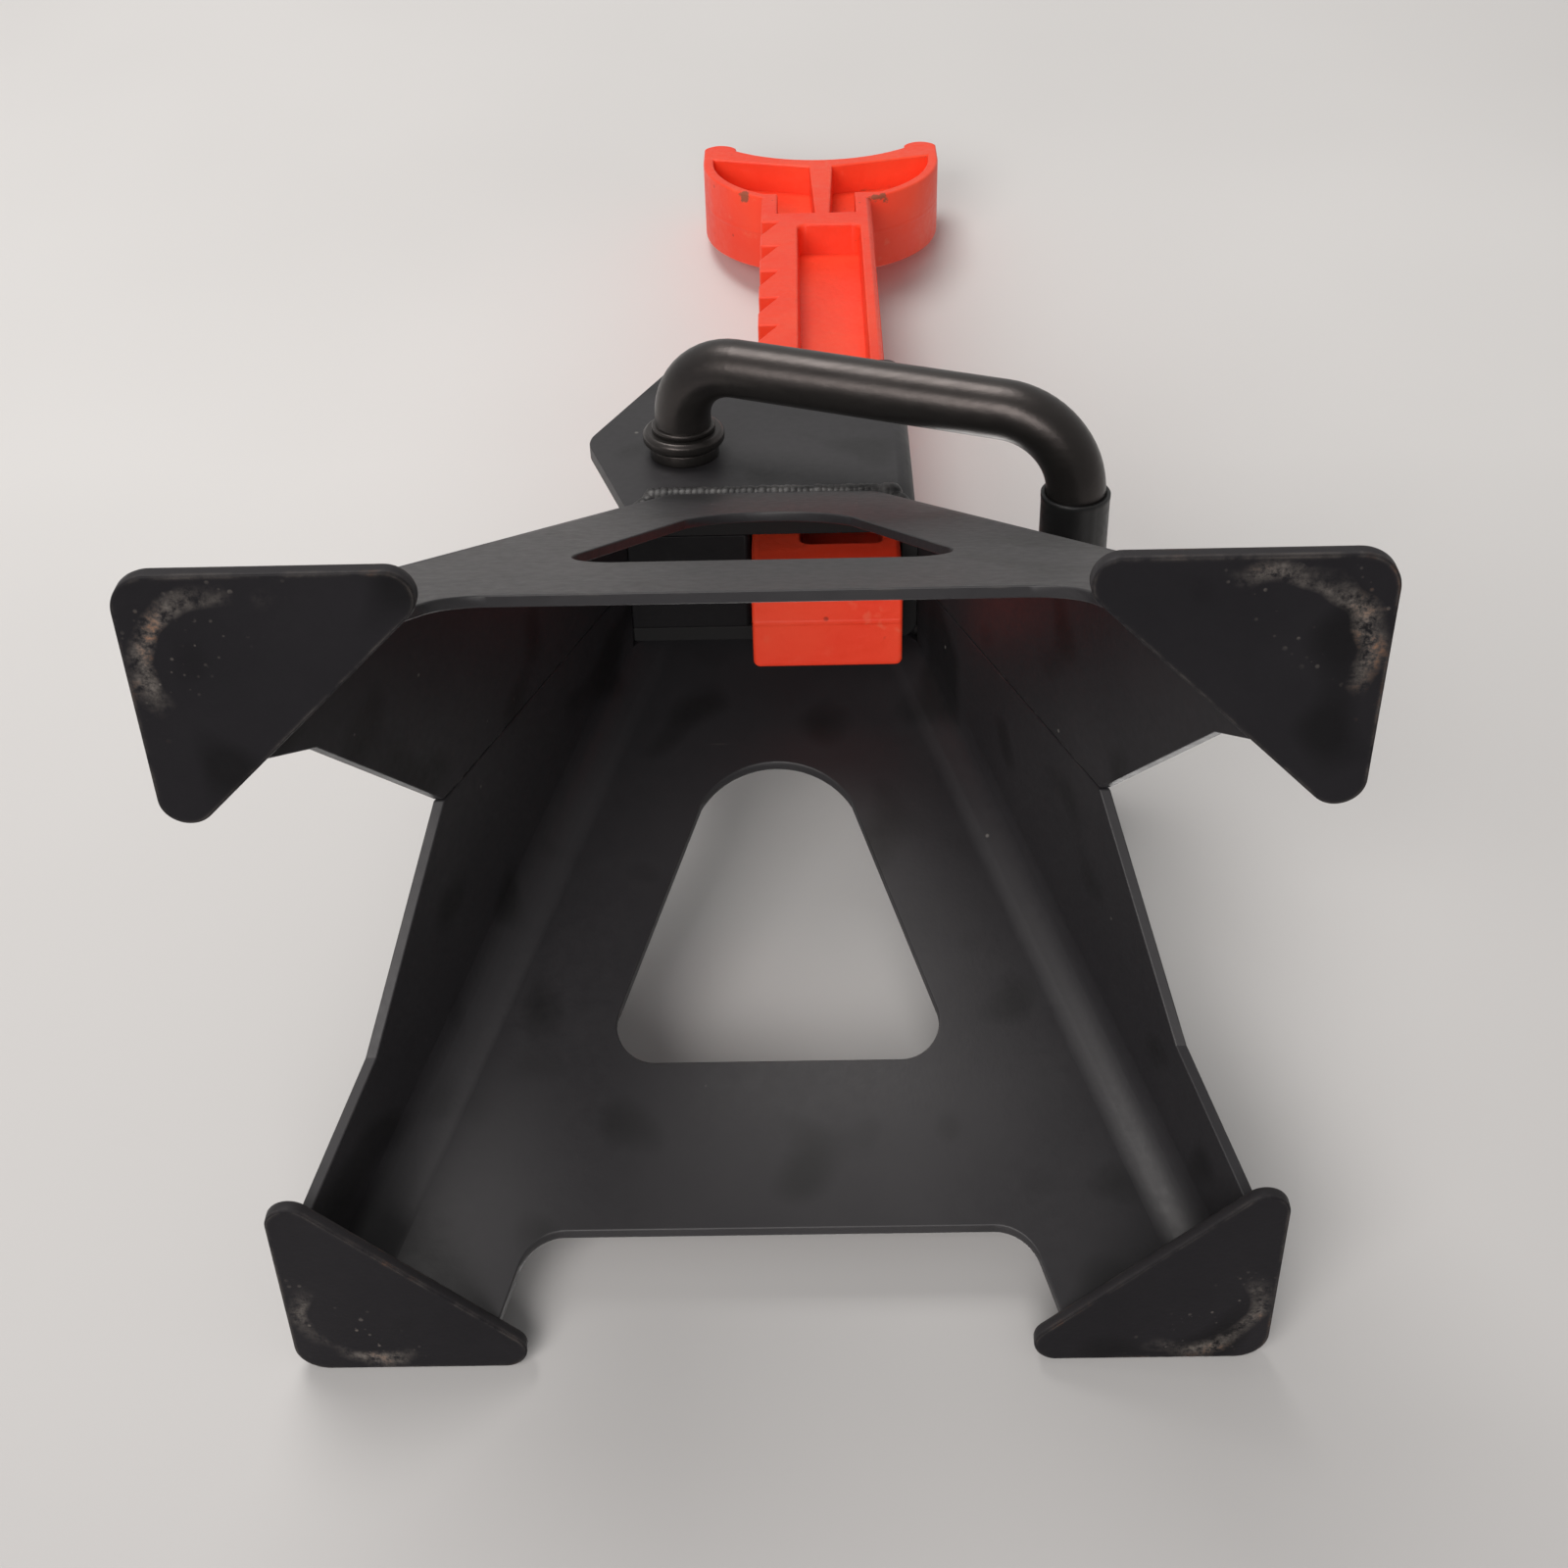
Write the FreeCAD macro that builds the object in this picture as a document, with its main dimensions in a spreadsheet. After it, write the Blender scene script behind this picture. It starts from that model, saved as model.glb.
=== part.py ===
"""Ratchet jack stand: a bent-sheet base on four foot pads, a cast toothed column with a saddle,
and a bent handle whose pawl holds the column at one of its notches.

Frame: millimetres, +Z up, origin under the middle of the foot pads, -Y towards the handle's cross run,
and the teeth on the column's -X side. The column stands at its highest notch.
"""
import FreeCAD, Part
import math
import os
import re

import Sketcher

SIZES = {
    # foot pads
    "base_width": 206.0,
    "base_depth": 196.0,
    "pad_leg": 56.4,
    "pad_thickness": 3.0,
    "pad_corner_radius": 7.0,
    "pad_tip_radius": 5.0,
    # bent shells; the insets run from the pads' outer edges to the sheet's inner face, at floor level
    "leg_inset_x": 5.82,
    "leg_inset_y": 10.95,
    "shell_height": 169.0,
    "flange_drop": 9.5,
    "flange_clearance": 4.1,
    "panel_top_half": 29.5,
    "cheek_fit": 0.05,
    "sheet_gauge": 2.3,
    "bend_radius": 10.0,
    "seam_gap": 0.4,
    # inverted V between the front and rear legs
    "arch_height": 71.5,
    "arch_knee_half": 40.0,
    "arch_knee_height": 34.5,
    "arch_foot_half": 57.0,
    # window and lower notch in each panel
    "window_bottom": 56.5,
    "window_half": 40.4,
    "window_shoulder": 119.0,
    "window_shoulder_half": 18.2,
    "window_crown_rise": 10.5,
    "window_corner_radius": 9.0,
    "notch_height": 20.4,
    "notch_half": 53.5,
    "notch_foot_half": 59.2,
    "notch_corner_radius": 10.0,
    # cast column, hung from the notch that the pawl has caught
    "column_left": -5.0,
    "column_width": 36.0,
    "column_thickness": 25.0,
    "column_tail": 83.9,
    "column_edge_radius": 1.7,
    "column_end_round": 0.9,
    "web_thickness": 5.0,
    "trough_rack_wall": 6.3,
    "trough_rim": 4.1,
    "trough_foot": 16.4,
    "trough_head": 2.9,
    "trough_corner_radius": 2.5,
    "trough_draft_angle": 3.0,
    # rack of notches, the first one at the top
    "tooth_pitch": 20.0,
    "tooth_depth": 5.5,
    "tooth_rise": 11.0,
    "tooth_count": 8,
    # half-moon saddle, its centre above the first notch
    "saddle_rise": 56.5,
    "saddle_offset": 1.9,
    "saddle_radius": 40.2,
    "saddle_rim_rise": 10.0,
    "saddle_hollow_depth": 10.45,
    "saddle_wall": 3.4,
    "saddle_floor": 6.6,
    "saddle_pocket_side": 5.3,
    "lug_width": 11.0,
    "lug_rise": 2.0,
    "lug_crown": 3.6,
    "crossbar_height": 10.4,
    "rib_top_half": 4.0,
    "rib_bottom_half": 2.5,
    # folded housing round the column
    "guide_clearance": 0.5,
    "housing_wall": 4.0,
    "housing_rise": 80.0,
    "housing_drop": 9.5,
    "housing_fold_radius": 4.5,
    "housing_corner_radius": 7.0,
    "ear_shoulder_offset": 4.5,
    "ear_tip_offset": 25.7,
    "ear_tip_rise": 7.4,
    "ear_tip_radius": 10.0,
    "ear_root_drop": 3.0,
    "ear_clearance": 0.1,
    "guide_bar_depth": 7.0,
    "guide_bar_height": 11.0,
    "guide_bar_radius": 1.5,
    # handle and pawl; the shaft stands off from the teeth and above the shells, the caught notch above it
    "pivot_offset": 17.5,
    "pivot_rise": 26.8,
    "catch_rise": 27.7,
    "rod_diameter": 14.3,
    "handle_droop_angle": 21.5,
    "handle_arm": 102.5,
    "handle_reach": 42.5,
    "pivot_bend_radius": 15.0,
    "grip_bend_radius": 18.5,
    "grip_diameter": 16.6,
    "grip_length": 72.0,
    "grip_end_wall": 3.0,
    "grip_round": 3.0,
    "pawl_width": 23.0,
    "pawl_hub_wall": 4.85,
    "pawl_clearance": 0.15,
    "pawl_pin_diameter": 5.0,
    "pawl_pin_wall": 1.0,
    # bushes, washers and retaining ring
    "running_clearance": 0.05,
    "bush_wall": 1.2,
    "bush_flange": 0.4,
    "bush_boss_height": 3.0,
    "bush_inset": 0.6,
    "washer_rim": 3.25,
    "washer_thickness": 3.6,
    "washer_play": 0.3,
    "washer_bevel": 0.9,
    "ring_thickness": 1.2,
    "ring_rim": 2.55,
    "ring_groove_depth": 1.0,
    "ring_mouth": 9.0,
    "shaft_tail": 3.0,
    # weld beads
    "seam_bead_width": 6.0,
    "seam_bead_height": 1.8,
    "seam_bead_inset": 4.0,
    "top_bead_height": 4.0,
    "top_bead_radius": 4.4,
    "foot_bead_leg": 3.0,
    "foot_bead_length": 22.0,
    "foot_bead_inset": 13.0,
}

# Sizes that follow from the driving ones, as expressions of them
DERIVED = {
    "column_right": "column_left + column_width",
    "housing_inner_half": "column_thickness / 2 + guide_clearance",
    "housing_half": "housing_inner_half + housing_wall",
    "housing_top": "shell_height + housing_rise",
    "housing_bottom": "shell_height - housing_drop",
    "web_inner_x": "column_right + guide_clearance",
    "flange_height": "shell_height - flange_drop",
    "flange_top_x": "web_inner_x + flange_clearance",
    "inner_foot_x": "base_width / 2 - leg_inset_x",
    "inner_foot_y": "base_depth / 2 - leg_inset_y",
    "side_slope": "(inner_foot_x - flange_top_x) / flange_height",
    "panel_slope": "(inner_foot_y - housing_half - cheek_fit) / shell_height",
    "side_wall": "sheet_gauge * sqrt(1 + side_slope ^ 2)",
    "panel_wall": "sheet_gauge * sqrt(1 + panel_slope ^ 2)",
    "outer_foot_x": "inner_foot_x + side_wall",
    "outer_foot_y": "inner_foot_y + panel_wall",
    "outer_top_y": "housing_half + cheek_fit + panel_wall",
    "window_angle": "atan((window_shoulder - window_bottom) / (window_half - window_shoulder_half))",
    "window_tangent": "window_corner_radius / tan(window_angle / 2)",
    "window_crown_radius": "(window_shoulder_half ^ 2 + window_crown_rise ^ 2) / (2 * window_crown_rise)",
    "notch_angle": "atan((notch_height - pad_thickness) / (notch_foot_half - notch_half))",
    "notch_tangent": "notch_corner_radius * tan(notch_angle / 2)",
    "pivot_x": "column_left - pivot_offset",
    "pivot_height": "shell_height + pivot_rise",
    "catch_height": "pivot_height + catch_rise",
    "rack_length": "tooth_pitch * (tooth_count - 1)",
    "tooth_top": "catch_height + rack_length",
    "tooth_slant": "tooth_rise / tooth_depth",
    "column_bottom": "catch_height - column_tail",
    "pocket_depth": "(column_thickness - web_thickness) / 2",
    "trough_top": "tooth_top - trough_head",
    "saddle_x": "column_left + column_width / 2 + saddle_offset",
    "saddle_centre": "tooth_top + saddle_rise",
    "saddle_left_foot": "saddle_centre - sqrt(saddle_radius ^ 2 - (saddle_x - column_left) ^ 2)",
    "saddle_right_foot": "saddle_centre - sqrt(saddle_radius ^ 2 - (column_right - saddle_x) ^ 2)",
    "saddle_rim": "saddle_centre + saddle_rim_rise",
    "saddle_hollow_half": "saddle_radius - lug_width",
    "saddle_hollow_radius": "(saddle_hollow_half ^ 2 + saddle_hollow_depth ^ 2) / (2 * saddle_hollow_depth)",
    "saddle_pocket_bottom": "trough_top + crossbar_height",
    "saddle_pocket_step": "saddle_left_foot + saddle_wall",
    "saddle_pocket_radius": "saddle_radius - saddle_wall",
    "lug_base": "saddle_rim + lug_rise",
    "lug_radius": "((lug_width / 2) ^ 2 + lug_crown ^ 2) / (2 * lug_crown)",
    "guide_bar_face": "column_left - guide_clearance",
    "guide_bar_back": "guide_bar_face - guide_bar_depth",
    "ear_root_x": "ear_clearance - flange_top_x",
    "ear_root_height": "shell_height - ear_root_drop",
    "ear_shoulder_x": "pivot_x - ear_shoulder_offset",
    "ear_tip_x": "pivot_x - ear_tip_offset",
    "ear_tip_height": "pivot_height + ear_tip_rise",
    "grip_start": "grip_bend_radius - handle_reach",
    "grip_end": "grip_start + grip_length",
    "pawl_radius": "sqrt(pivot_offset ^ 2 + catch_rise ^ 2) - pawl_clearance",
    "pawl_hub_radius": "rod_diameter / 2 + pawl_hub_wall",
    "pawl_gap": "pawl_clearance * sqrt(1 + tooth_slant ^ 2) / tooth_slant",
    "bore_radius": "rod_diameter / 2 + running_clearance",
    "bush_neck_radius": "bore_radius + bush_wall",
    "washer_radius": "rod_diameter / 2 + washer_rim",
    "washer_inner": "housing_half + bush_boss_height + washer_play",
    "washer_outer": "washer_inner + washer_thickness",
    "ring_radius": "rod_diameter / 2 + ring_rim",
    "ring_outer": "washer_outer + ring_thickness",
    "shaft_end": "ring_outer + shaft_tail",
}

doc = FreeCAD.newDocument("ratchet_jack_stand")
sheet = doc.addObject("Spreadsheet::Sheet", "Sheet")
for row, (alias, size) in enumerate(SIZES.items(), 1):
    sheet.set(f"A{row}", alias)
    sheet.set(f"B{row}", str(size))
    sheet.setAlias(f"B{row}", alias)
doc.recompute()

sub_parts = []


def bound(text):
    """The expression with every size name turned into its cell, and every derived name written out."""
    def cell(match):
        name = match.group(0)
        if name in DERIVED:
            return "(" + bound(DERIVED[name]) + ")"
        return "Sheet." + name if name in SIZES else name
    return re.sub(r"[a-z_]+", cell, text)


def value(text):
    """The expression's present value, as a plain number."""
    return float(sheet.evalExpression(bound(text)))


def bind(thing, prop, text):
    thing.setExpression(prop, bound(text))


def new_body(label):
    body = doc.addObject("PartDesign::Body", label)
    body.Label = label
    sub_parts.append(body)
    return body


def at_pivot(body, turned=False):
    """Puts a body's origin on the handle's axis; a turned body's X runs along the drooping cross run."""
    bind(body, "Placement.Base.x", "pivot_x")
    bind(body, "Placement.Base.z", "pivot_height")
    if turned:
        body.Placement.Rotation = FreeCAD.Rotation(FreeCAD.Vector(0, 1, 0), value("handle_droop_angle"))
        bind(body, "Placement.Rotation.Angle", "handle_droop_angle")


def new_sketch(body, name, role, lift=None):
    """A sketch on one of the body's own origin planes, lifted along the plane's normal."""
    sketch = body.newObject("Sketcher::SketchObject", name)
    plane = next(p for p in body.Origin.OriginFeatures if p.Role == role)
    sketch.AttachmentSupport = [(plane, "")]
    sketch.MapMode = "FlatFace"
    if lift:
        bind(sketch, "AttachmentOffset.Base.z", lift)
    return sketch


def pin_down(sketch, kind, *ends, text):
    """Adds one driving dimension to a sketch and ties it to the sheet."""
    index = sketch.addConstraint(Sketcher.Constraint(kind, *ends, value(text)))
    bind(sketch, f"Constraints[{index}]", text)


def outline(sketch, corners, closed=True):
    """Lines and arcs through the corners. A corner is (x, y), or (x, y, radius, turn) where an arc leaves it:
    turn 1 is counter-clockwise and -1 clockwise. Every corner and radius is tied to the sheet."""
    points = [FreeCAD.Vector(value(c[0]), value(c[1]), 0) for c in corners]
    count = len(corners) if closed else len(corners) - 1
    starts, ends = [], []
    for i in range(count):
        start, end = points[i], points[(i + 1) % len(points)]
        if len(corners[i]) == 2:
            index = sketch.addGeometry(Part.LineSegment(start, end))
            starts.append((index, 1))
            ends.append((index, 2))
            continue
        radius, turn = value(corners[i][2]), corners[i][3]
        chord = end - start
        across = FreeCAD.Vector(-chord.y, chord.x, 0).normalize() * turn
        centre = (start + end) / 2 + across * math.sqrt(radius ** 2 - (chord.Length / 2) ** 2)
        low, high = (start, end) if turn > 0 else (end, start)
        angles = [math.atan2((p - centre).y, (p - centre).x) for p in (low, high)]
        round_edge = Part.Circle(centre, FreeCAD.Vector(0, 0, 1), radius)
        index = sketch.addGeometry(Part.ArcOfCircle(round_edge, *angles))
        starts.append((index, 1 if turn > 0 else 2))
        ends.append((index, 2 if turn > 0 else 1))
        pin_down(sketch, "Radius", index, text=corners[i][2])
    for i in range(count if closed else count - 1):
        sketch.addConstraint(Sketcher.Constraint("Coincident", *ends[i], *starts[(i + 1) % count]))
    marks = starts if closed else starts + [ends[-1]]
    for mark, corner in zip(marks, corners):
        pin_down(sketch, "DistanceX", -1, 1, *mark, text=corner[0])
        pin_down(sketch, "DistanceY", -1, 1, *mark, text=corner[1])


def ring(sketch, radius, x="0", y="0"):
    """A full circle, tied to the sheet."""
    centre = FreeCAD.Vector(value(x), value(y), 0)
    index = sketch.addGeometry(Part.Circle(centre, FreeCAD.Vector(0, 0, 1), value(radius)))
    pin_down(sketch, "Radius", index, text=radius)
    pin_down(sketch, "DistanceX", -1, 1, index, 3, text=x)
    pin_down(sketch, "DistanceY", -1, 1, index, 3, text=y)


def rectangle(sketch, left, low, right, high):
    outline(sketch, [(left, low), (right, low), (right, high), (left, high)])


def rounded_rectangle(sketch, left, low, right, high, radius):
    outline(sketch, [
        (f"{left} + {radius}", low), (f"{right} - {radius}", low, radius, 1),
        (right, f"{low} + {radius}"), (right, f"{high} - {radius}", radius, 1),
        (f"{right} - {radius}", high), (f"{left} + {radius}", high, radius, 1),
        (left, f"{high} - {radius}"), (left, f"{low} + {radius}", radius, 1),
    ])


def pad(body, sketch, length, both_ways=False, backwards=False):
    feature = body.newObject("PartDesign::Pad", sketch.Name + "_pad")
    feature.Profile = sketch
    bind(feature, "Length", length)
    feature.SideType = "Symmetric" if both_ways else "One side"
    feature.Reversed = backwards
    doc.recompute()
    return feature


def cut(body, sketch, length, both_ways=False, backwards=False, draft=None, always=True):
    """A pocket, its walls drafted if asked; one that always cuts is sure to have removed something."""
    before = body.Shape.Volume
    feature = body.newObject("PartDesign::Pocket", sketch.Name + "_cut")
    feature.Profile = sketch
    bind(feature, "Length", length)
    feature.SideType = "Symmetric" if both_ways else "One side"
    feature.Reversed = backwards
    if draft:
        bind(feature, "TaperAngle", draft)
    doc.recompute()
    if always and body.Shape.Volume >= before:
        raise RuntimeError(f"{feature.Name} cuts nothing")
    return feature


def revolve(body, sketch, axis, kind="Revolution"):
    feature = body.newObject("PartDesign::" + kind, sketch.Name + "_turn")
    feature.Profile = sketch
    feature.ReferenceAxis = (sketch, [axis])
    feature.Angle = 360
    doc.recompute()
    return feature


def edges_where(body, test):
    """Names of the edges of the body so far whose two ends both pass the test."""
    found = []
    for i, edge in enumerate(body.Tip.Shape.Edges, 1):
        if len(edge.Vertexes) == 2 and all(test(v.Point) for v in edge.Vertexes):
            found.append(f"Edge{i}")
    return found


def edges_at(body, **place):
    """Names of the edges whose ends lie at the given x, y and z, each an expression."""
    wanted = {axis: value(text) for axis, text in place.items()}
    return edges_where(body, lambda p: all(abs(getattr(p, a) - v) < 1e-4 for a, v in wanted.items()))


def round_off(body, edges, radius):
    if not edges:
        raise RuntimeError(f"{body.Label} has no edge to round by {radius}")
    tip = body.Tip
    feature = body.newObject("PartDesign::Fillet", body.Name + "_round")
    feature.Base = (tip, edges)
    bind(feature, "Radius", radius)
    doc.recompute()
    return feature


def bent_shell(label, side):
    """Half of the base: a tapering panel with a flange bent back along each edge. Side -1 is the front."""
    body = new_body(label)

    def frustum(kind, name, low, high, wall_x, wall_y, seam):
        """A wedge between two levels, its own Y axis turned upright, this far out from the inner faces."""
        wedge = body.newObject("PartDesign::" + kind, label + name)
        wedge.Placement.Rotation = FreeCAD.Rotation(FreeCAD.Vector(1, 0, 0), 90)
        bind(wedge, "Ymin", low)
        bind(wedge, "Ymax", high)
        for level, mark in ((low, ""), (high, "2")):
            half_x = f"(inner_foot_x - side_slope * ({level}) + {wall_x})"
            half_y = f"(inner_foot_y - panel_slope * ({level}) + {wall_y})"
            near, far = (seam, half_y) if side < 0 else (f"-{half_y}", f"-({seam})")
            bind(wedge, f"X{mark}min", "-" + half_x)
            bind(wedge, f"X{mark}max", half_x)
            bind(wedge, f"Z{mark}min", near)
            bind(wedge, f"Z{mark}max", far)
        doc.recompute()

    above = "shell_height + sheet_gauge"
    walls = ("side_wall", "panel_wall")
    frustum("AdditiveWedge", "_outside", "pad_thickness", "shell_height", *walls, "seam_gap / 2")
    frustum("SubtractiveWedge", "_inside", "0", above, "0", "0", "-seam_gap")

    def bends(wall_x, wall_y):
        """The two rising edges where the faces that lie this far out from the inner ones meet."""
        found = []
        for hand in (-1, 1):
            def on_bend(point):
                away_x = value("inner_foot_x") - value("side_slope") * point.z + wall_x - hand * point.x
                away_y = value("inner_foot_y") - value("panel_slope") * point.z + wall_y - abs(point.y)
                return abs(away_x) < 1e-4 and abs(away_y) < 1e-4
            found += edges_where(body, on_bend)
        return found

    round_off(body, bends(0, 0), "bend_radius")
    round_off(body, bends(value("side_wall"), value("panel_wall")), "bend_radius + sheet_gauge")

    corners = new_sketch(body, label + "_top_corners", "XZ_Plane")
    for hand in ("", "-"):
        outline(corners, [
            (hand + "panel_top_half", above), (hand + "panel_top_half", "shell_height"),
            (hand + "(flange_top_x + side_wall)", "flange_height"), (hand + "outer_foot_x", "flange_height"),
            (hand + "outer_foot_x", above),
        ])
    cut(body, corners, "2 * outer_foot_y", both_ways=True)
    seat = new_sketch(body, label + "_housing_seat", "XY_Plane", "flange_height - bend_radius")
    seat_half = "(housing_half + cheek_fit)"
    rectangle(seat, "-flange_top_x", "-" + seat_half, "flange_top_x", seat_half)
    cut(body, seat, "shell_height", backwards=True, always=False)

    window = new_sketch(body, label + "_window", "XZ_Plane")
    sill_x = "window_half - window_tangent"
    jamb_x = "window_half - window_tangent * cos(window_angle)"
    jamb_z = "window_bottom + window_tangent * sin(window_angle)"
    outline(window, [
        (f"-({sill_x})", "window_bottom"), (sill_x, "window_bottom", "window_corner_radius", 1),
        (jamb_x, jamb_z), ("window_shoulder_half", "window_shoulder", "window_crown_radius", 1),
        ("-window_shoulder_half", "window_shoulder"), (f"-({jamb_x})", jamb_z, "window_corner_radius", 1),
    ])
    cut(body, window, "outer_foot_y", backwards=side < 0)

    notch = new_sketch(body, label + "_notch", "XZ_Plane")
    lintel_x = "notch_half - notch_tangent"
    leg_x = "notch_half + notch_tangent * cos(notch_angle)"
    leg_z = "notch_height - notch_tangent * sin(notch_angle)"
    outline(notch, [
        ("-notch_foot_half", "0"), ("notch_foot_half", "0"), ("notch_foot_half", "pad_thickness"),
        (leg_x, leg_z, "notch_corner_radius", 1), (lintel_x, "notch_height"),
        (f"-({lintel_x})", "notch_height", "notch_corner_radius", 1), (f"-({leg_x})", leg_z),
        ("-notch_foot_half", "pad_thickness"),
    ])
    cut(body, notch, "outer_foot_y", backwards=side < 0)

    arch = new_sketch(body, label + "_arch", "YZ_Plane")
    outline(arch, [
        ("0", "0"), ("0", "arch_height"), (f"{side} * arch_knee_half", "arch_knee_height"),
        (f"{side} * arch_foot_half", "pad_thickness"), (f"{side} * arch_foot_half", "0"),
    ])
    cut(body, arch, "2 * outer_foot_x", both_ways=True)


def foot_pad(label, side_x, side_y):
    """A three-cornered floor plate under one leg, its long edge towards the middle of the base."""
    body = new_body(label)
    corner_x, corner_y = f"{side_x} * base_width / 2", f"{side_y} * base_depth / 2"
    tip_x, tip_y = f"{side_x} * (base_width / 2 - pad_leg)", f"{side_y} * (base_depth / 2 - pad_leg)"
    plate = new_sketch(body, label + "_plate", "XY_Plane")
    outline(plate, [(corner_x, corner_y), (tip_x, corner_y), (corner_x, tip_y)])
    pad(body, plate, "pad_thickness")
    round_off(body, edges_at(body, x=corner_x, y=corner_y), "pad_corner_radius")
    tips = edges_at(body, x=tip_x, y=corner_y) + edges_at(body, x=corner_x, y=tip_y)
    round_off(body, tips, "pad_tip_radius")


def seam_weld(label, side):
    """A low bead along the outside of the seam between the two shells."""
    body = new_body(label)
    start = "(arch_height + seam_bead_inset)"
    wall_x = f"{side} * (outer_foot_x - side_slope * {start})"
    crown = "((seam_bead_width / 2) ^ 2 + seam_bead_height ^ 2) / (2 * seam_bead_height)"
    bead = new_sketch(body, label + "_bead", "XY_Plane", start)
    low, high = "-seam_bead_width / 2", "seam_bead_width / 2"
    if side < 0:
        low, high = high, low
    outline(bead, [(wall_x, low, crown, 1), (wall_x, high)])
    run = pad(body, bead, f"flange_height - {start}")
    run.UseCustomVector = True
    run.Direction = FreeCAD.Vector(-side * value("side_slope"), 0, 1)
    bind(run, "Direction.x", f"-{side} * side_slope")
    run.AlongSketchNormal = True


def housing_weld(label, side):
    """The bead that joins a panel's top edge to the housing's cheek."""
    body = new_body(label)
    bead = new_sketch(body, label + "_bead", "YZ_Plane")
    root = (f"{side} * housing_half", "shell_height")
    toe = (f"{side} * outer_top_y", "shell_height")
    crest = (f"{side} * housing_half", "shell_height + top_bead_height")
    if side < 0:
        outline(bead, [root, crest + ("top_bead_radius", 1), toe])
    else:
        outline(bead, [root, toe + ("top_bead_radius", 1), crest])
    pad(body, bead, "2 * panel_top_half", both_ways=True)


def foot_bead(name, side_x, side_y, wall):
    """One bead at the foot of a leg's side or panel, a wedge whose own X points out and Y up."""
    wedge = doc.addObject("Part::Wedge", name)
    for prop, text in {
        "Xmin": "0", "Ymin": "0", "Zmin": "0", "Z2min": "0", "Xmax": "foot_bead_leg", "Ymax": "foot_bead_leg",
        "Zmax": "foot_bead_length", "Z2max": "foot_bead_length",
        "X2min": f"-{wall}_slope * foot_bead_leg", "X2max": f"-{wall}_slope * foot_bead_leg",
    }.items():
        bind(wedge, prop, text)
    out = FreeCAD.Vector(side_x, 0, 0) if wall == "side" else FreeCAD.Vector(0, side_y, 0)
    up = FreeCAD.Vector(0, 0, 1)
    along = out.cross(up)
    wedge.Placement.Rotation = FreeCAD.Rotation(out, up, along, "XYZ")
    runs_out = along.x * side_x + along.y * side_y > 0
    inset = "(foot_bead_inset + foot_bead_length)" if runs_out else "foot_bead_inset"
    inset_x, inset_y = ("0", inset) if wall == "side" else (inset, "0")
    bind(wedge, "Placement.Base.x", f"{side_x} * (outer_foot_x - side_slope * pad_thickness - {inset_x})")
    bind(wedge, "Placement.Base.y", f"{side_y} * (outer_foot_y - panel_slope * pad_thickness - {inset_y})")
    bind(wedge, "Placement.Base.z", "pad_thickness")
    return wedge


def foot_welds():
    """Beads along the outer edges of the legs, where they stand on the pads."""
    beads = []
    for side_x in (-1, 1):
        for side_y in (-1, 1):
            for wall in ("side", "panel"):
                beads.append(foot_bead(f"foot_bead_{len(beads)}", side_x, side_y, wall))
    group = doc.addObject("Part::Compound", "foot_welds")
    group.Label = "foot_welds"
    group.Links = beads
    sub_parts.append(group)


def ratchet_housing():
    """Two cheeks and a web folded from one plate, open towards the teeth, with ears for the shaft."""
    body = new_body("ratchet_housing")
    cheek = new_sketch(body, "housing_cheek", "XZ_Plane")
    outline(cheek, [
        ("ear_root_x", "housing_bottom"), ("web_inner_x + housing_wall", "housing_bottom"),
        ("web_inner_x + housing_wall", "housing_top"), ("ear_shoulder_x", "housing_top"),
        ("ear_tip_x", "ear_tip_height"), ("ear_root_x", "ear_root_height"),
    ])
    pad(body, cheek, "2 * housing_half", both_ways=True)
    channel = new_sketch(body, "housing_channel", "XY_Plane")
    rectangle(channel, "ear_tip_x - housing_wall", "-housing_inner_half", "web_inner_x", "housing_inner_half")
    cut(body, channel, "2 * housing_top", both_ways=True)
    bores = new_sketch(body, "housing_bores", "XZ_Plane")
    ring(bores, "bush_neck_radius", "pivot_x", "pivot_height")
    cut(body, bores, "4 * housing_half", both_ways=True)
    web_face = "web_inner_x + housing_wall"
    folds = edges_at(body, x=web_face, y="-housing_half") + edges_at(body, x=web_face, y="housing_half")
    round_off(body, folds, "housing_fold_radius")
    round_off(body, edges_at(body, x="ear_tip_x", z="ear_tip_height"), "ear_tip_radius")
    round_off(body, edges_at(body, x="ear_shoulder_x", z="housing_top"), "housing_corner_radius")


def guide_bar(label, corners):
    """A bar across the housing's open side that keeps the column against the web; its section in X and Z."""
    body = new_body(label)
    section = new_sketch(body, label + "_section", "XZ_Plane")
    outline(section, corners)
    pad(body, section, "2 * housing_inner_half", both_ways=True)
    near = value("guide_bar_face")
    round_off(body, edges_where(body, lambda p: abs(p.x - near) < 1e-4 and abs(p.y) > 1), "guide_bar_radius")


def bush(label, side):
    """A flanged bush pressed into one cheek; the handle's shaft turns in it."""
    body = new_body(label)
    at_pivot(body)
    half = new_sketch(body, label + "_half", "XY_Plane")
    inner = f"{side} * (housing_inner_half - bush_inset)"
    face = f"{side} * housing_half"
    outer = f"{side} * (housing_half + bush_boss_height)"
    boss = "bush_neck_radius + bush_flange"
    outline(half, [
        ("bore_radius", inner), ("bush_neck_radius", inner), ("bush_neck_radius", face),
        (boss, face), (boss, outer), ("bore_radius", outer),
    ])
    revolve(body, half, "V_Axis")


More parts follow.
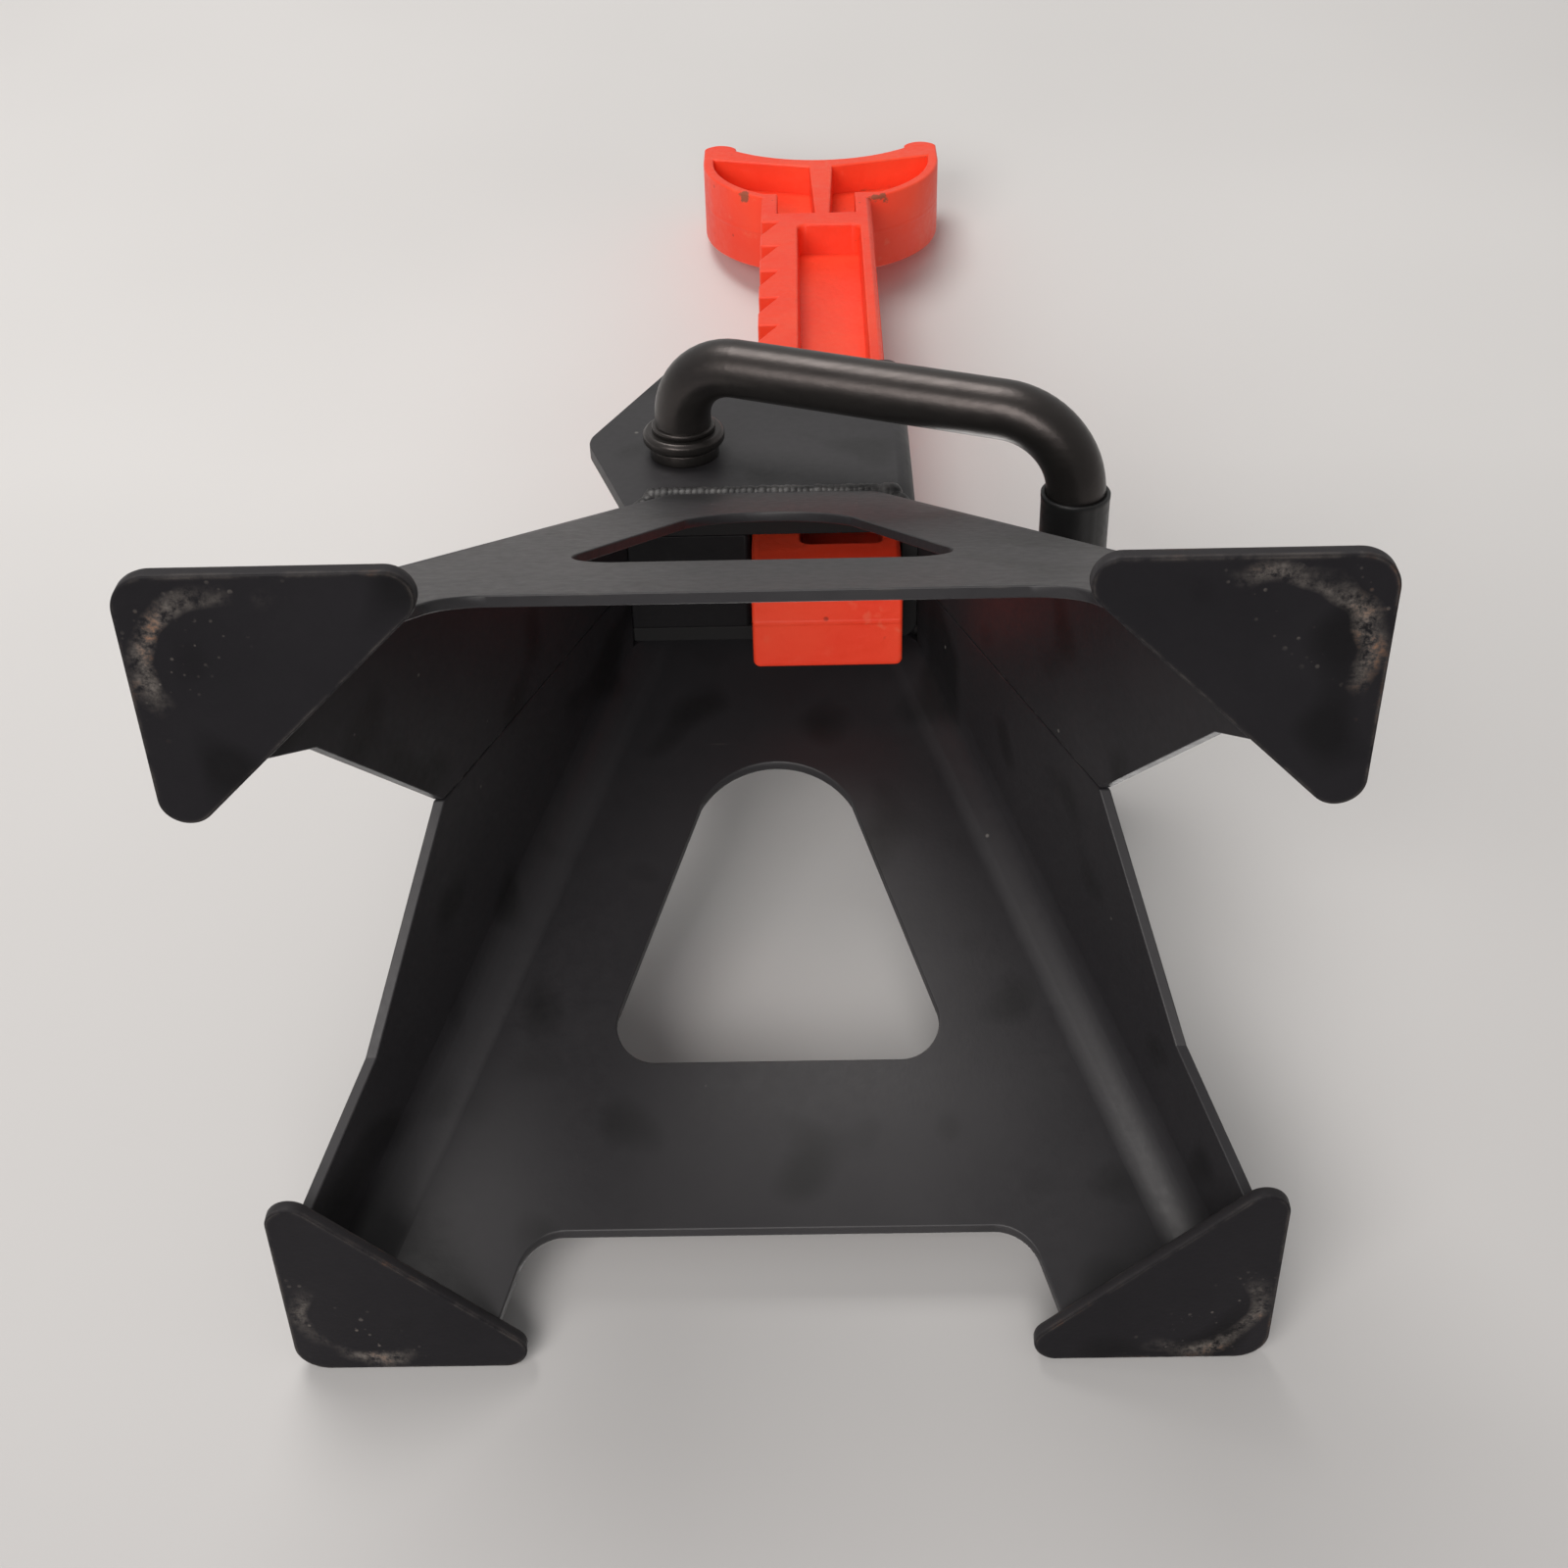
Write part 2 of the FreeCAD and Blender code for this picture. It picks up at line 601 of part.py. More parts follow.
def washer(label, side):
    """A thick collar fixed on the shaft, both edges of its rim broken."""
    body = new_body(label)
    at_pivot(body)
    half = new_sketch(body, label + "_half", "XY_Plane")
    inner, outer = f"{side} * washer_inner", f"{side} * washer_outer"
    low, high = f"{side} * (washer_inner + washer_bevel)", f"{side} * (washer_outer - washer_bevel)"
    outline(half, [
        ("rod_diameter / 2", inner), ("washer_radius - washer_bevel", inner), ("washer_radius", low),
        ("washer_radius", high), ("washer_radius - washer_bevel", outer), ("rod_diameter / 2", outer),
    ])
    revolve(body, half, "V_Axis")


def retaining_ring():
    """An open snap ring in the groove near the shaft's rear end."""
    body = new_body("retaining_ring")
    at_pivot(body)
    hoop = new_sketch(body, "retaining_ring_hoop", "XZ_Plane", "-washer_outer")
    ring(hoop, "ring_radius")
    ring(hoop, "rod_diameter / 2 - ring_groove_depth")
    pad(body, hoop, "ring_thickness", backwards=True)
    mouth = new_sketch(body, "retaining_ring_mouth", "XZ_Plane")
    rectangle(mouth, "-ring_mouth / 2", "-2 * ring_radius", "ring_mouth / 2", "0")
    cut(body, mouth, "2 * shaft_end")


def ratchet_column():
    """The cast column: half-moon saddle, deep pockets that leave a web, and notches down one edge."""
    body = new_body("ratchet_column")
    left_lug = "saddle_x - saddle_radius"
    right_lug = "saddle_x + saddle_radius"
    casting = new_sketch(body, "column_casting", "XZ_Plane")
    outline(casting, [
        ("column_left", "column_bottom"), ("column_right", "column_bottom"),
        ("column_right", "saddle_right_foot", "saddle_radius", 1),
        (right_lug, "saddle_centre"), (right_lug, "lug_base", "lug_radius", 1),
        (right_lug + " - lug_width", "lug_base"),
        (right_lug + " - lug_width", "saddle_rim", "saddle_hollow_radius", -1),
        (left_lug + " + lug_width", "saddle_rim"),
        (left_lug + " + lug_width", "lug_base", "lug_radius", 1),
        (left_lug, "lug_base"), (left_lug, "saddle_centre", "saddle_radius", 1),
        ("column_left", "saddle_left_foot"),
    ])
    pad(body, casting, "column_thickness", both_ways=True)

    tooth = new_sketch(body, "column_tooth", "XZ_Plane")
    run_out = "tooth_depth / 4"
    outline(tooth, [
        (f"column_left - {run_out}", "tooth_top"),
        (f"column_left - {run_out}", f"tooth_top - tooth_rise - tooth_slant * {run_out}"),
        ("column_left + tooth_depth", "tooth_top"),
    ])
    first_tooth = cut(body, tooth, "2 * column_thickness", both_ways=True)
    rack = body.newObject("PartDesign::LinearPattern", "column_rack")
    rack.Originals = [first_tooth]
    rack.Direction = (next(a for a in body.Origin.OriginFeatures if a.Role == "Z_Axis"), [""])
    rack.Reversed = True
    bind(rack, "Length", "rack_length")
    bind(rack, "Occurrences", "tooth_count")
    body.Tip = rack
    doc.recompute()

    trough_left, trough_right = "column_left + tooth_depth + trough_rack_wall", "column_right - trough_rim"
    for side in (-1, 1):
        name = "column_front" if side < 0 else "column_rear"
        face = f"{-side} * column_thickness / 2"
        trough = new_sketch(body, name + "_trough", "XZ_Plane", face)
        rounded_rectangle(trough, trough_left, "column_bottom + trough_foot", trough_right, "trough_top",
                          "trough_corner_radius")
        cut(body, trough, "pocket_depth", backwards=side > 0, draft="-trough_draft_angle")
        for hand in (-1, 1):
            hollow = new_sketch(body, f"{name}_saddle_{'left' if hand < 0 else 'right'}", "XZ_Plane", face)
            rib_bottom = f"saddle_x + {hand} * rib_bottom_half"
            rib_top = f"saddle_x + {hand} * rib_top_half"
            wall = "column_left + saddle_pocket_side" if hand < 0 else "column_right - saddle_pocket_side"
            floor = "saddle_pocket_bottom"
            drop = "(saddle_centre - saddle_pocket_step)"
            corner = f"saddle_x + {hand} * sqrt(saddle_pocket_radius ^ 2 - {drop} ^ 2)"
            tip = f"saddle_x + {hand} * saddle_pocket_radius"
            outline(hollow, [
                (rib_bottom, floor), (wall, floor), (wall, "saddle_pocket_step"),
                (corner, "saddle_pocket_step", "saddle_pocket_radius", hand), (tip, "saddle_centre"),
                (tip, "saddle_centre + saddle_wall / 2"),
                (rib_top, "saddle_rim - saddle_hollow_depth - saddle_floor"),
            ])
            cut(body, hollow, "pocket_depth", backwards=side > 0)
    rack_foot = value("catch_height")
    plain_edges = edges_at(body, x="column_right", y="-column_thickness / 2")
    plain_edges += edges_at(body, x="column_right", y="column_thickness / 2")
    for face in ("-column_thickness / 2", "column_thickness / 2"):
        face_y, rack_x = value(face), value("column_left")
        plain_edges += edges_where(body, lambda p: abs(p.x - rack_x) < 1e-4 and abs(p.y - face_y) < 1e-4
                                   and p.z < rack_foot)
    round_off(body, plain_edges, "column_edge_radius")
    round_off(body, edges_at(body, z="column_bottom"), "column_end_round")


def pawl():
    """The catch: a hub on the shaft and an arm whose top is an arc about the shaft, so it swings out from
    under a tooth without lifting it, and whose lower face rests on the notch's slant."""
    body = new_body("pawl")
    at_pivot(body)
    hub = new_sketch(body, "pawl_hub", "XZ_Plane")
    ring(hub, "pawl_hub_radius")
    pad(body, hub, "pawl_width", both_ways=True)
    arm = new_sketch(body, "pawl_arm", "XZ_Plane")
    reach = "(tooth_depth - pawl_gap)"
    outline(arm, [
        ("-pawl_hub_radius", "0"), ("pawl_hub_radius", "0"),
        ("pivot_offset - guide_clearance", f"catch_rise - tooth_slant * ({reach} + guide_clearance)"),
        (f"pivot_offset + {reach}", "catch_rise"),
        ("0", "pawl_radius + pawl_hub_radius / 2"),
    ])
    pad(body, arm, "pawl_width", both_ways=True)
    crown = new_sketch(body, "pawl_crown", "XZ_Plane")
    ring(crown, "pawl_radius")
    ring(crown, "pawl_radius * 2")
    cut(body, crown, "2 * pawl_width", both_ways=True)
    bore = new_sketch(body, "pawl_bore", "XZ_Plane")
    ring(bore, "rod_diameter / 2")
    cut(body, bore, "2 * pawl_width", both_ways=True)
    pin_hole = new_sketch(body, "pawl_pin_hole", "YZ_Plane")
    droop = value("handle_droop_angle")
    pin_hole.AttachmentOffset.Rotation = FreeCAD.Rotation(FreeCAD.Vector(1, 0, 0), droop)
    ring(pin_hole, "pawl_pin_diameter / 2")
    cut(body, pin_hole, "4 * pawl_hub_radius", both_ways=True)


def pawl_pin():
    """A hollow spring pin through hub and shaft."""
    body = new_body("pawl_pin")
    at_pivot(body, turned=True)
    section = new_sketch(body, "pawl_pin_section", "YZ_Plane")
    ring(section, "pawl_pin_diameter / 2")
    ring(section, "pawl_pin_diameter / 2 - pawl_pin_wall")
    pad(body, section, "2 * pawl_hub_radius", both_ways=True)


def handle_rod():
    """One bent rod: shaft through the housing, drooping cross run and grip leg, all in one plane."""
    body = new_body("handle_rod")
    at_pivot(body, turned=True)
    path = new_sketch(body, "handle_path", "XY_Plane")
    outline(path, [
        ("0", "shaft_end"), ("0", "pivot_bend_radius - handle_reach", "pivot_bend_radius", 1),
        ("pivot_bend_radius", "-handle_reach"),
        ("handle_arm - grip_bend_radius", "-handle_reach", "grip_bend_radius", 1),
        ("handle_arm", "grip_bend_radius - handle_reach"), ("handle_arm", "grip_end - grip_end_wall"),
    ], closed=False)
    section = new_sketch(body, "handle_section", "XZ_Plane", "-shaft_end")
    ring(section, "rod_diameter / 2")
    bent = body.newObject("PartDesign::AdditivePipe", "handle_bent_rod")
    bent.Profile = section
    bent.Spine = path
    doc.recompute()
    slot = new_sketch(body, "handle_ring_groove", "XY_Plane")
    rectangle(slot, "rod_diameter / 2 - ring_groove_depth", "washer_outer", "rod_diameter", "ring_outer")
    before = body.Shape.Volume
    revolve(body, slot, "V_Axis", "Groove")
    if body.Shape.Volume >= before:
        raise RuntimeError("the ring groove cuts nothing")
    pin_hole = new_sketch(body, "handle_pin_hole", "YZ_Plane")
    ring(pin_hole, "pawl_pin_diameter / 2")
    cut(body, pin_hole, "2 * rod_diameter", both_ways=True)
    round_off(body, shaft_end_edges(body), "ring_groove_depth")


def handle_grip():
    """A dipped sleeve with a closed, rounded end."""
    body = new_body("handle_grip")
    at_pivot(body, turned=True)
    half = new_sketch(body, "handle_grip_half", "XY_Plane")
    axis_x, bore_x, skin_x = "handle_arm", "handle_arm + rod_diameter / 2", "handle_arm + grip_diameter / 2"
    outline(half, [
        (bore_x, "grip_start"), (skin_x, "grip_start"), (skin_x, "grip_end - grip_round", "grip_round", 1),
        (skin_x + " - grip_round", "grip_end"), (axis_x, "grip_end"),
        (axis_x, "grip_end - grip_end_wall"), (bore_x, "grip_end - grip_end_wall"),
    ])
    axis = half.addGeometry(Part.LineSegment(FreeCAD.Vector(value(axis_x), value("grip_start"), 0),
                                             FreeCAD.Vector(value(axis_x), value("grip_end"), 0)), True)
    for end, y in ((1, "grip_start"), (2, "grip_end")):
        pin_down(half, "DistanceX", -1, 1, axis, end, text=axis_x)
        pin_down(half, "DistanceY", -1, 1, axis, end, text=y)
    revolve(body, half, "Axis0")


def shaft_end_edges(body):
    """The circle round the shaft's rear end face."""
    end = value("shaft_end")
    return [f"Edge{i}" for i, e in enumerate(body.Tip.Shape.Edges, 1)
            if all(abs(v.Point.y - end) < 1e-4 for v in e.Vertexes)]


bent_shell("front_shell", -1)
bent_shell("rear_shell", 1)
for front_or_rear, side_y in (("front", -1), ("rear", 1)):
    for left_or_right, side_x in (("left", -1), ("right", 1)):
        foot_pad(f"{front_or_rear}_{left_or_right}_foot", side_x, side_y)
seam_weld("left_seam_weld", -1)
seam_weld("right_seam_weld", 1)
housing_weld("front_housing_weld", -1)
housing_weld("rear_housing_weld", 1)
foot_welds()
ratchet_housing()
upper_bar_foot = "housing_top - guide_bar_height"
guide_bar("upper_guide_bar", [
    ("guide_bar_back", upper_bar_foot), ("guide_bar_face", upper_bar_foot),
    ("guide_bar_face", "housing_top"), ("guide_bar_back", "housing_top"),
])
lower_bar_crest = "housing_bottom + guide_bar_height"
lower_bar_floor = "housing_bottom + housing_wall"
guide_bar("lower_guide_bar", [
    ("ear_root_x", "housing_bottom"), ("guide_bar_face", "housing_bottom"),
    ("guide_bar_face", lower_bar_crest), ("guide_bar_back", lower_bar_crest),
    ("guide_bar_back", lower_bar_floor), ("ear_root_x", lower_bar_floor),
])
bush("front_bush", -1)
bush("rear_bush", 1)
ratchet_column()
pawl()
pawl_pin()
handle_rod()
handle_grip()
washer("front_washer", -1)
washer("rear_washer", 1)
retaining_ring()

doc.recompute()
failed = [o.Name for o in doc.Objects if "Invalid" in o.State or "Error" in o.State]
if failed:
    raise RuntimeError(f"failed objects: {failed}")
os.makedirs("parts", exist_ok=True)
for sub_part in sub_parts:
    shape = sub_part.Shape
    if shape.isNull() or not shape.isValid() or not shape.Solids:
        raise RuntimeError(f"{sub_part.Label} has no valid solid")
for sub_part in sub_parts:
    sub_part.Shape.exportStep(f"parts/{sub_part.Label}.step")
    print(sub_part.Label, len(sub_part.Shape.Solids), round(sub_part.Shape.Volume))
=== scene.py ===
import math

import bmesh
import bpy
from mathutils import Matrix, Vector


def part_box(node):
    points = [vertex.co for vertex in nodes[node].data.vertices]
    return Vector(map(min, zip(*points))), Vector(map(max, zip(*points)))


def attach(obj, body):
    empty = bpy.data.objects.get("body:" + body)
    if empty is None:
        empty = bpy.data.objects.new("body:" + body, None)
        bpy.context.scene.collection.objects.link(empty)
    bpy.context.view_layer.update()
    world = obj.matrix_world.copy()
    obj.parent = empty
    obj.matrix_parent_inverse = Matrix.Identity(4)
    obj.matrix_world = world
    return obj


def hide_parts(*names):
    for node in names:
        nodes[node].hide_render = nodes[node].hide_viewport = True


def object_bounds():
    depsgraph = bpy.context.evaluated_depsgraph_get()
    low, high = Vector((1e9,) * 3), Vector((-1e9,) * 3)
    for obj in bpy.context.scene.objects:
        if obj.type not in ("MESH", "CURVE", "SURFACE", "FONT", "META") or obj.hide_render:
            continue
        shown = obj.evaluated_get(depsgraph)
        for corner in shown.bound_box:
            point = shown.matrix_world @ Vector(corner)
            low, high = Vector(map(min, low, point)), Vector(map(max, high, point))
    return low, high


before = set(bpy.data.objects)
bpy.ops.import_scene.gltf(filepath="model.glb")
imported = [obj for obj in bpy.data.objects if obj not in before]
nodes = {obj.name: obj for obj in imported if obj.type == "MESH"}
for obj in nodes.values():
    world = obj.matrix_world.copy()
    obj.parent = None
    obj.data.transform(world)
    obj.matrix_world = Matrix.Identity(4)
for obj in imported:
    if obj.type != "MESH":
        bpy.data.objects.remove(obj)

MM = 0.001
cad_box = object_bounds()

# The camera as it stood for the photo, seen from under the base, and the floor that the stand lies on
CAMERA_PLACE = Vector((9.4, -264.7, -284.8)) * MM
CAMERA_AIM = Vector((1.2, 61.3, 158.2)) * MM
CAMERA_ROLL = math.radians(0.18)
CAMERA_LENS = 47.9
FLOOR_SLOPE = 0.195
FLOOR_HALF_WIDTH = 2.5
FLOOR_NEAR = -0.15
FLOOR_FAR = 4.0
FLOOR_GAP = 0.4 * MM

# Soft lamps: over the lying stand, at the camera's left, behind the camera, and a weak one for the stand's
# back. Each has its name, place, aim, size, power in watts and colour.
FRONT_LAMPS = [
    ("ceiling lamp", (-0.35, -1.6, 0.55), (0, 0, 0.25), 0.9, 15, (1.0, 0.97, 0.94)),
    ("near lamp", (-0.7, -0.8, -1.1), (0, 0, 0.1), 0.9, 13, (1.0, 0.96, 0.93)),
    ("low lamp", (-0.1, -0.5, -1.5), (0, 0, 0.1), 0.9, 11, (1.0, 0.97, 0.95)),
]
BACK_LAMP = ("back lamp", (0.1, 1.5, 0.8), (0, 0, 0.2), 1.0, 7, (1.0, 0.98, 0.96))

# The pale room around: its strength as plain light, and as a reflection from below and from above
ROOM_COLOUR = (1.0, 0.99, 0.98, 1)
ROOM_LIGHT = 0.32
ROOM_MIRRORED_LOW = 0.20
ROOM_MIRRORED_HIGH = 0.50

# Eased edges of the CAD nodes: what counts as joined, flat and sharp, and how wide each kind of edge is eased
JOIN_GAP = 0.005 * MM
FLAT_FOLD = math.radians(0.3)
SHARP_FOLD = math.radians(32)
SHEET_EASE = 0.35 * MM
PAD_EASE = 0.5 * MM
CASTING_EASE = 0.7 * MM
TURNED_EASE = 0.3 * MM
SMALL_EASE = 0.2 * MM

# Painted shade darkens the housing, and its coat turns rougher, up to this height over its lower edge, fading
# out over the fade
PAINTED_SHADE_HEIGHT = 3 * MM
PAINTED_SHADE_FADE = 2 * MM

# Worn arc under each pad: its radius, how far it wanders, its middle's inset from the pad's outer corner, and
# the way out to that corner
WEAR_RADIUS = 14.5 * MM
WEAR_WANDER = 1.3 * MM
WEAR_INSET = Vector((18.5, 18, 0)) * MM
WEAR_DIRECTION = (0.71, 0.71, 0)

# Bare spots in the column's paint
CHIP_SPOTS = [Vector(spot) * MM for spot in (
    (-11.4, -11.4, 388.6),
    (36.0, -12.2, 384.0),
    (33.0, -12.4, 382.5),
)]
CHIP_REACH = 2.6 * MM

# Weld ripples: one at every pitch, leaning and overlapping, each a little larger or smaller than the next
RIPPLE_PITCH = 1.5 * MM
RIPPLE_LEAN = math.radians(10)
RIPPLE_OVERLAP = 1.7
RIPPLE_SMALLEST = 0.92
RIPPLE_LARGEST = 1.06
RIPPLE_SEGMENTS = 14
RIPPLE_RINGS = 8

# Beads along the side seams
SEAM_BEAD_HEIGHT = 1.8 * MM
SEAM_BEAD_SWELL = 1.08

# Beads on top of the panels, as shares of the CAD bead, and their ends down the shells' corners
TOP_BEAD_IN = 0.25
TOP_BEAD_UP = 0.3
TOP_BEAD_WIDTH = 1.15
TOP_BEAD_HEIGHT = 0.72
CORNER_BEAD_WIDTH = 4.2 * MM
CORNER_BEAD_HEIGHT = 2.0 * MM
CORNER_BEAD_OUT = 0.4 * MM
CORNER_BEAD_IN = 1.2 * MM
CORNER_BEAD_RISE = 2.6 * MM
CORNER_BEAD_TILT = 0.8

# Beads round the legs on the pads
FOOT_BEAD_LEG = 3.0 * MM
FOOT_BEAD_WIDTH = 1.3 * FOOT_BEAD_LEG
FOOT_BEAD_HEIGHT = 0.75 * FOOT_BEAD_LEG
FOOT_FLANK_REACH = 2.5 * FOOT_BEAD_LEG

# Grip sleeve and the shaft's ledge ring
TURN_STEPS = 72
GRIP_WALL = 1.1 * MM
GRIP_END_ROUND = 3.0 * MM
GRIP_END_STEPS = 8
GRIP_LIP_LENGTH = 1.6 * MM
GRIP_LIP_PROUD = 0.05 * MM
GRIP_LIP_ROUND = 0.25 * MM
GRIP_LIP_TAPER = 0.4 * MM
GRIP_LIP_UNDERCUT = 0.05 * MM
MOULD_LINE_ANGLES = (115, 295)
MOULD_LINE_HEIGHT = 0.15 * MM
ROD_RADIUS = 7.15 * MM
LEDGE_THICKNESS = 1.5 * MM
LEDGE_PROUD = 0.9 * MM
LEDGE_SINK = 0.2 * MM
LEDGE_LAP = 0.05 * MM
LEDGE_ROUND = 0.45 * MM
LEDGE_ROUND_STEPS = 4

# Colours
COAT_DARK = (0.016, 0.0150, 0.0172, 1)
COAT_PALE = (0.023, 0.0216, 0.0238, 1)
COAT_OIL_SPOT = (0.005, 0.0047, 0.0052, 1)
COAT_RUBBED = (0.17, 0.15, 0.13, 1)
COAT_SCRATCH = (0.10, 0.095, 0.09, 1)
COAT_DUST = (0.20, 0.19, 0.175, 1)
# Painted shade at the housing's lower edge
HOUSING_PAINTED_SHADE = (0.004, 0.0038, 0.0042, 1)
# Painted shade on the pads' undersides
PAD_SHADE_DARK = (0.0105, 0.0098, 0.0115, 1)
PAD_SHADE_PALE = (0.0150, 0.0140, 0.0160, 1)
PAD_TOP = (0.027, 0.0255, 0.0275, 1)
PAD_EARTH = (0.220, 0.195, 0.175, 1)
PAD_RUST = (0.34, 0.19, 0.12, 1)
# Painted shade on the plates inside the housing
GUIDE_SHADE_DARK = (0.006, 0.0056, 0.0064, 1)
GUIDE_SHADE_PALE = (0.010, 0.0094, 0.0104, 1)
WELD_DARK = (0.013, 0.0124, 0.013, 1)
# Painted highlight on the weld beads
WELD_HIGHLIGHT_GREY = (0.058, 0.0555, 0.055, 1)
PAINT_DEEP = (0.87, 0.048, 0.017, 1)
PAINT_BRIGHT = (0.91, 0.078, 0.030, 1)
PAINT_STREAK = (0.86, 0.16, 0.085, 1)
PAINT_SOOT = (0.20, 0.018, 0.012, 1)
BARE_CASTING = (0.115, 0.078, 0.042, 1)
ROD_DARK = (0.009, 0.0086, 0.0082, 1)
ROD_PALE = (0.015, 0.014, 0.0132, 1)
ROD_SHEEN = (1.0, 0.88, 0.85, 1)
VINYL_DARK = (0.0085, 0.0085, 0.009, 1)
VINYL_PALE = (0.015, 0.0145, 0.0145, 1)
STEEL_DARK = (0.30, 0.29, 0.275, 1)
STEEL_PALE = (0.46, 0.45, 0.43, 1)
STEEL_RUST = (0.15, 0.085, 0.045, 1)
FLOOR_DARK = (0.61, 0.602, 0.595, 1)
FLOOR_PALE = (0.66, 0.652, 0.645, 1)
FLOOR_SHADED = (0.47, 0.463, 0.460, 1)

# Sockets of the Mix node when it mixes colours
FACTOR, UNDER, OVER, MIXED = 0, 6, 7, 2


def node(tree, kind, inputs=None, **settings):
    """A new node with its settings; each input, by name or number, gets a value or another node's socket."""
    made = tree.nodes.new(kind)
    for name, setting in settings.items():
        setattr(made, name, setting)
    for name, source in (inputs or {}).items():
        if isinstance(source, bpy.types.NodeSocket):
            tree.links.new(source, made.inputs[name])
        else:
            made.inputs[name].default_value = source
    return made


def maths(tree, operation, first, second):
    return node(tree, "ShaderNodeMath", {0: first, 1: second}, operation=operation).outputs[0]


def times(tree, first, second):
    return maths(tree, "MULTIPLY", first, second)


def larger(tree, first, second):
    return maths(tree, "MAXIMUM", first, second)


def vector_maths(tree, operation, output, *sources):
    made = node(tree, "ShaderNodeVectorMath", dict(enumerate(sources)), operation=operation)
    return made.outputs[output]


def along_axis(tree, vector, axis):
    return node(tree, "ShaderNodeSeparateXYZ", {0: vector}).outputs[axis]


def spread(tree, source, low, high, start=0.0, end=1.0):
    """The part of a value between low and high, stretched to start and end."""
    return node(tree, "ShaderNodeMapRange", {
        "Value": source, "From Min": low, "From Max": high, "To Min": start, "To Max": end,
    }).outputs["Result"]


def noise(tree, place, scale, detail, roughness=0.55):
    return node(tree, "ShaderNodeTexNoise", {
        "Vector": place, "Scale": scale, "Detail": detail, "Roughness": roughness,
    }).outputs["Fac"]


def mottle(tree, place, scale, detail, low, high, start=0.0, end=1.0, roughness=0.55):
    """Noise between low and high, stretched to start and end."""
    return spread(tree, noise(tree, place, scale, detail, roughness), low, high, start, end)


def specks(tree, place, scale, size):
    """Small specks of uneven size at the points of a jittered grid; 1 inside a speck."""
    cells = node(tree, "ShaderNodeTexVoronoi", {"Vector": place, "Scale": scale})
    reach = times(tree, cells.outputs["Color"], size)
    gap = maths(tree, "SUBTRACT", cells.outputs["Distance"], reach)
    return spread(tree, gap, 0, -0.3 * size)


def stretched(tree, place, scale):
    return node(tree, "ShaderNodeMapping", {"Vector": place, "Scale": scale}).outputs["Vector"]


def sharp_edges(tree, reach, low, high):
    """1 near sharp outer or inner edges, fading out over the reach."""
    rounded = node(tree, "ShaderNodeBevel", {"Radius": reach}, samples=6).outputs["Normal"]
    plain = node(tree, "ShaderNodeNewGeometry").outputs["Normal"]
    agree = vector_maths(tree, "DOT_PRODUCT", "Value", rounded, plain)
    return spread(tree, agree, 1 - low, 1 - high)


def tint(tree, amount, under, over):
    """One colour laid over another, as far as amount says."""
    mix = node(tree, "ShaderNodeMix", {FACTOR: amount, UNDER: under, OVER: over}, data_type="RGBA")
    return mix.outputs[MIXED]


def stain(tree, colour, over, amount, strength):
    """A colour with another laid over it, as far as amount says, and at most at this strength."""
    return tint(tree, times(tree, amount, strength), colour, over)


def bump(tree, shader, *layers):
    """Stacks bumps on the shader's normal; each layer is a height socket and its depth in metres."""
    normal = None
    for height, depth in layers:
        inputs = {"Height": height, "Distance": depth, "Strength": 1.0}
        if normal:
            inputs["Normal"] = normal
        normal = node(tree, "ShaderNodeBump", inputs).outputs["Normal"]
    tree.links.new(normal, shader.inputs["Normal"])


def start_material(name, **plain):
    """A new material's node tree, its shader with the plain values set, and its object coordinates."""
    material = bpy.data.materials.new(name)
    material.use_nodes = True
    tree = material.node_tree
    shader = tree.nodes["Principled BSDF"]
    for socket, setting in plain.items():
        shader.inputs[socket.replace("_", " ")].default_value = setting
    place = node(tree, "ShaderNodeTexCoord").outputs["Object"]
    return material, tree, shader, place


def connect(tree, shader, colour, rough):
    tree.links.new(colour, shader.inputs["Base Color"])
    tree.links.new(rough, shader.inputs["Roughness"])


def coat_colour(tree, place, dark, pale):
    """Colour of a black coat: cloudy tone, faint oil spots and rubbed edges."""
    cloud = mottle(tree, place, scale=18, detail=4, low=0.35, high=0.7)
    colour = tint(tree, cloud, dark, pale)
    spots = mottle(tree, place, scale=58, detail=0, low=0.62, high=0.76)
    colour = stain(tree, colour, COAT_OIL_SPOT, spots, strength=0.7)
    rubbed = times(tree, sharp_edges(tree, 1.0 * MM, low=0.02, high=0.2),
                   mottle(tree, place, scale=160, detail=5, low=0.5, high=0.75))
    return stain(tree, colour, COAT_RUBBED, rubbed, strength=0.35)


def coat_roughness(tree, place):
    return mottle(tree, place, scale=420, detail=4, low=0.3, high=0.7, start=0.45, end=0.53)


def black_powder_coat(name, painted_shade_below=None):
    """Satin black coat; below a height the inside of the housing is painted darker, as painted shade, and
    rougher.
    """
    material, tree, shader, place = start_material(name, Specular_IOR_Level=0.5)
    colour = coat_colour(tree, place, COAT_DARK, COAT_PALE)
    rough = coat_roughness(tree, place)
    drawn = stretched(tree, place, (30, 900, 60))
    scratched = times(tree, mottle(tree, drawn, scale=1.0, detail=2, low=0.71, high=0.75),
                      mottle(tree, place, scale=26, detail=2, low=0.56, high=0.7))
    colour = stain(tree, colour, COAT_SCRATCH, scratched, strength=0.35)
    colour = stain(tree, colour, COAT_DUST, specks(tree, place, scale=70, size=0.06), strength=0.6)
    # Painted shade: near the housing's lower edge the coat is darkened and made rougher
    if painted_shade_below:
        painted_shade = spread(tree, along_axis(tree, place, "Z"), painted_shade_below, painted_shade_below - PAINTED_SHADE_FADE)
        colour = tint(tree, painted_shade, colour, HOUSING_PAINTED_SHADE)
        rough = larger(tree, rough, times(tree, painted_shade, 0.8))
    connect(tree, shader, colour, rough)
    grain = noise(tree, place, scale=900, detail=2)
    waves = noise(tree, place, scale=60, detail=2)
    bump(tree, shader, (grain, 0.025 * MM), (waves, 0.08 * MM))
    return material


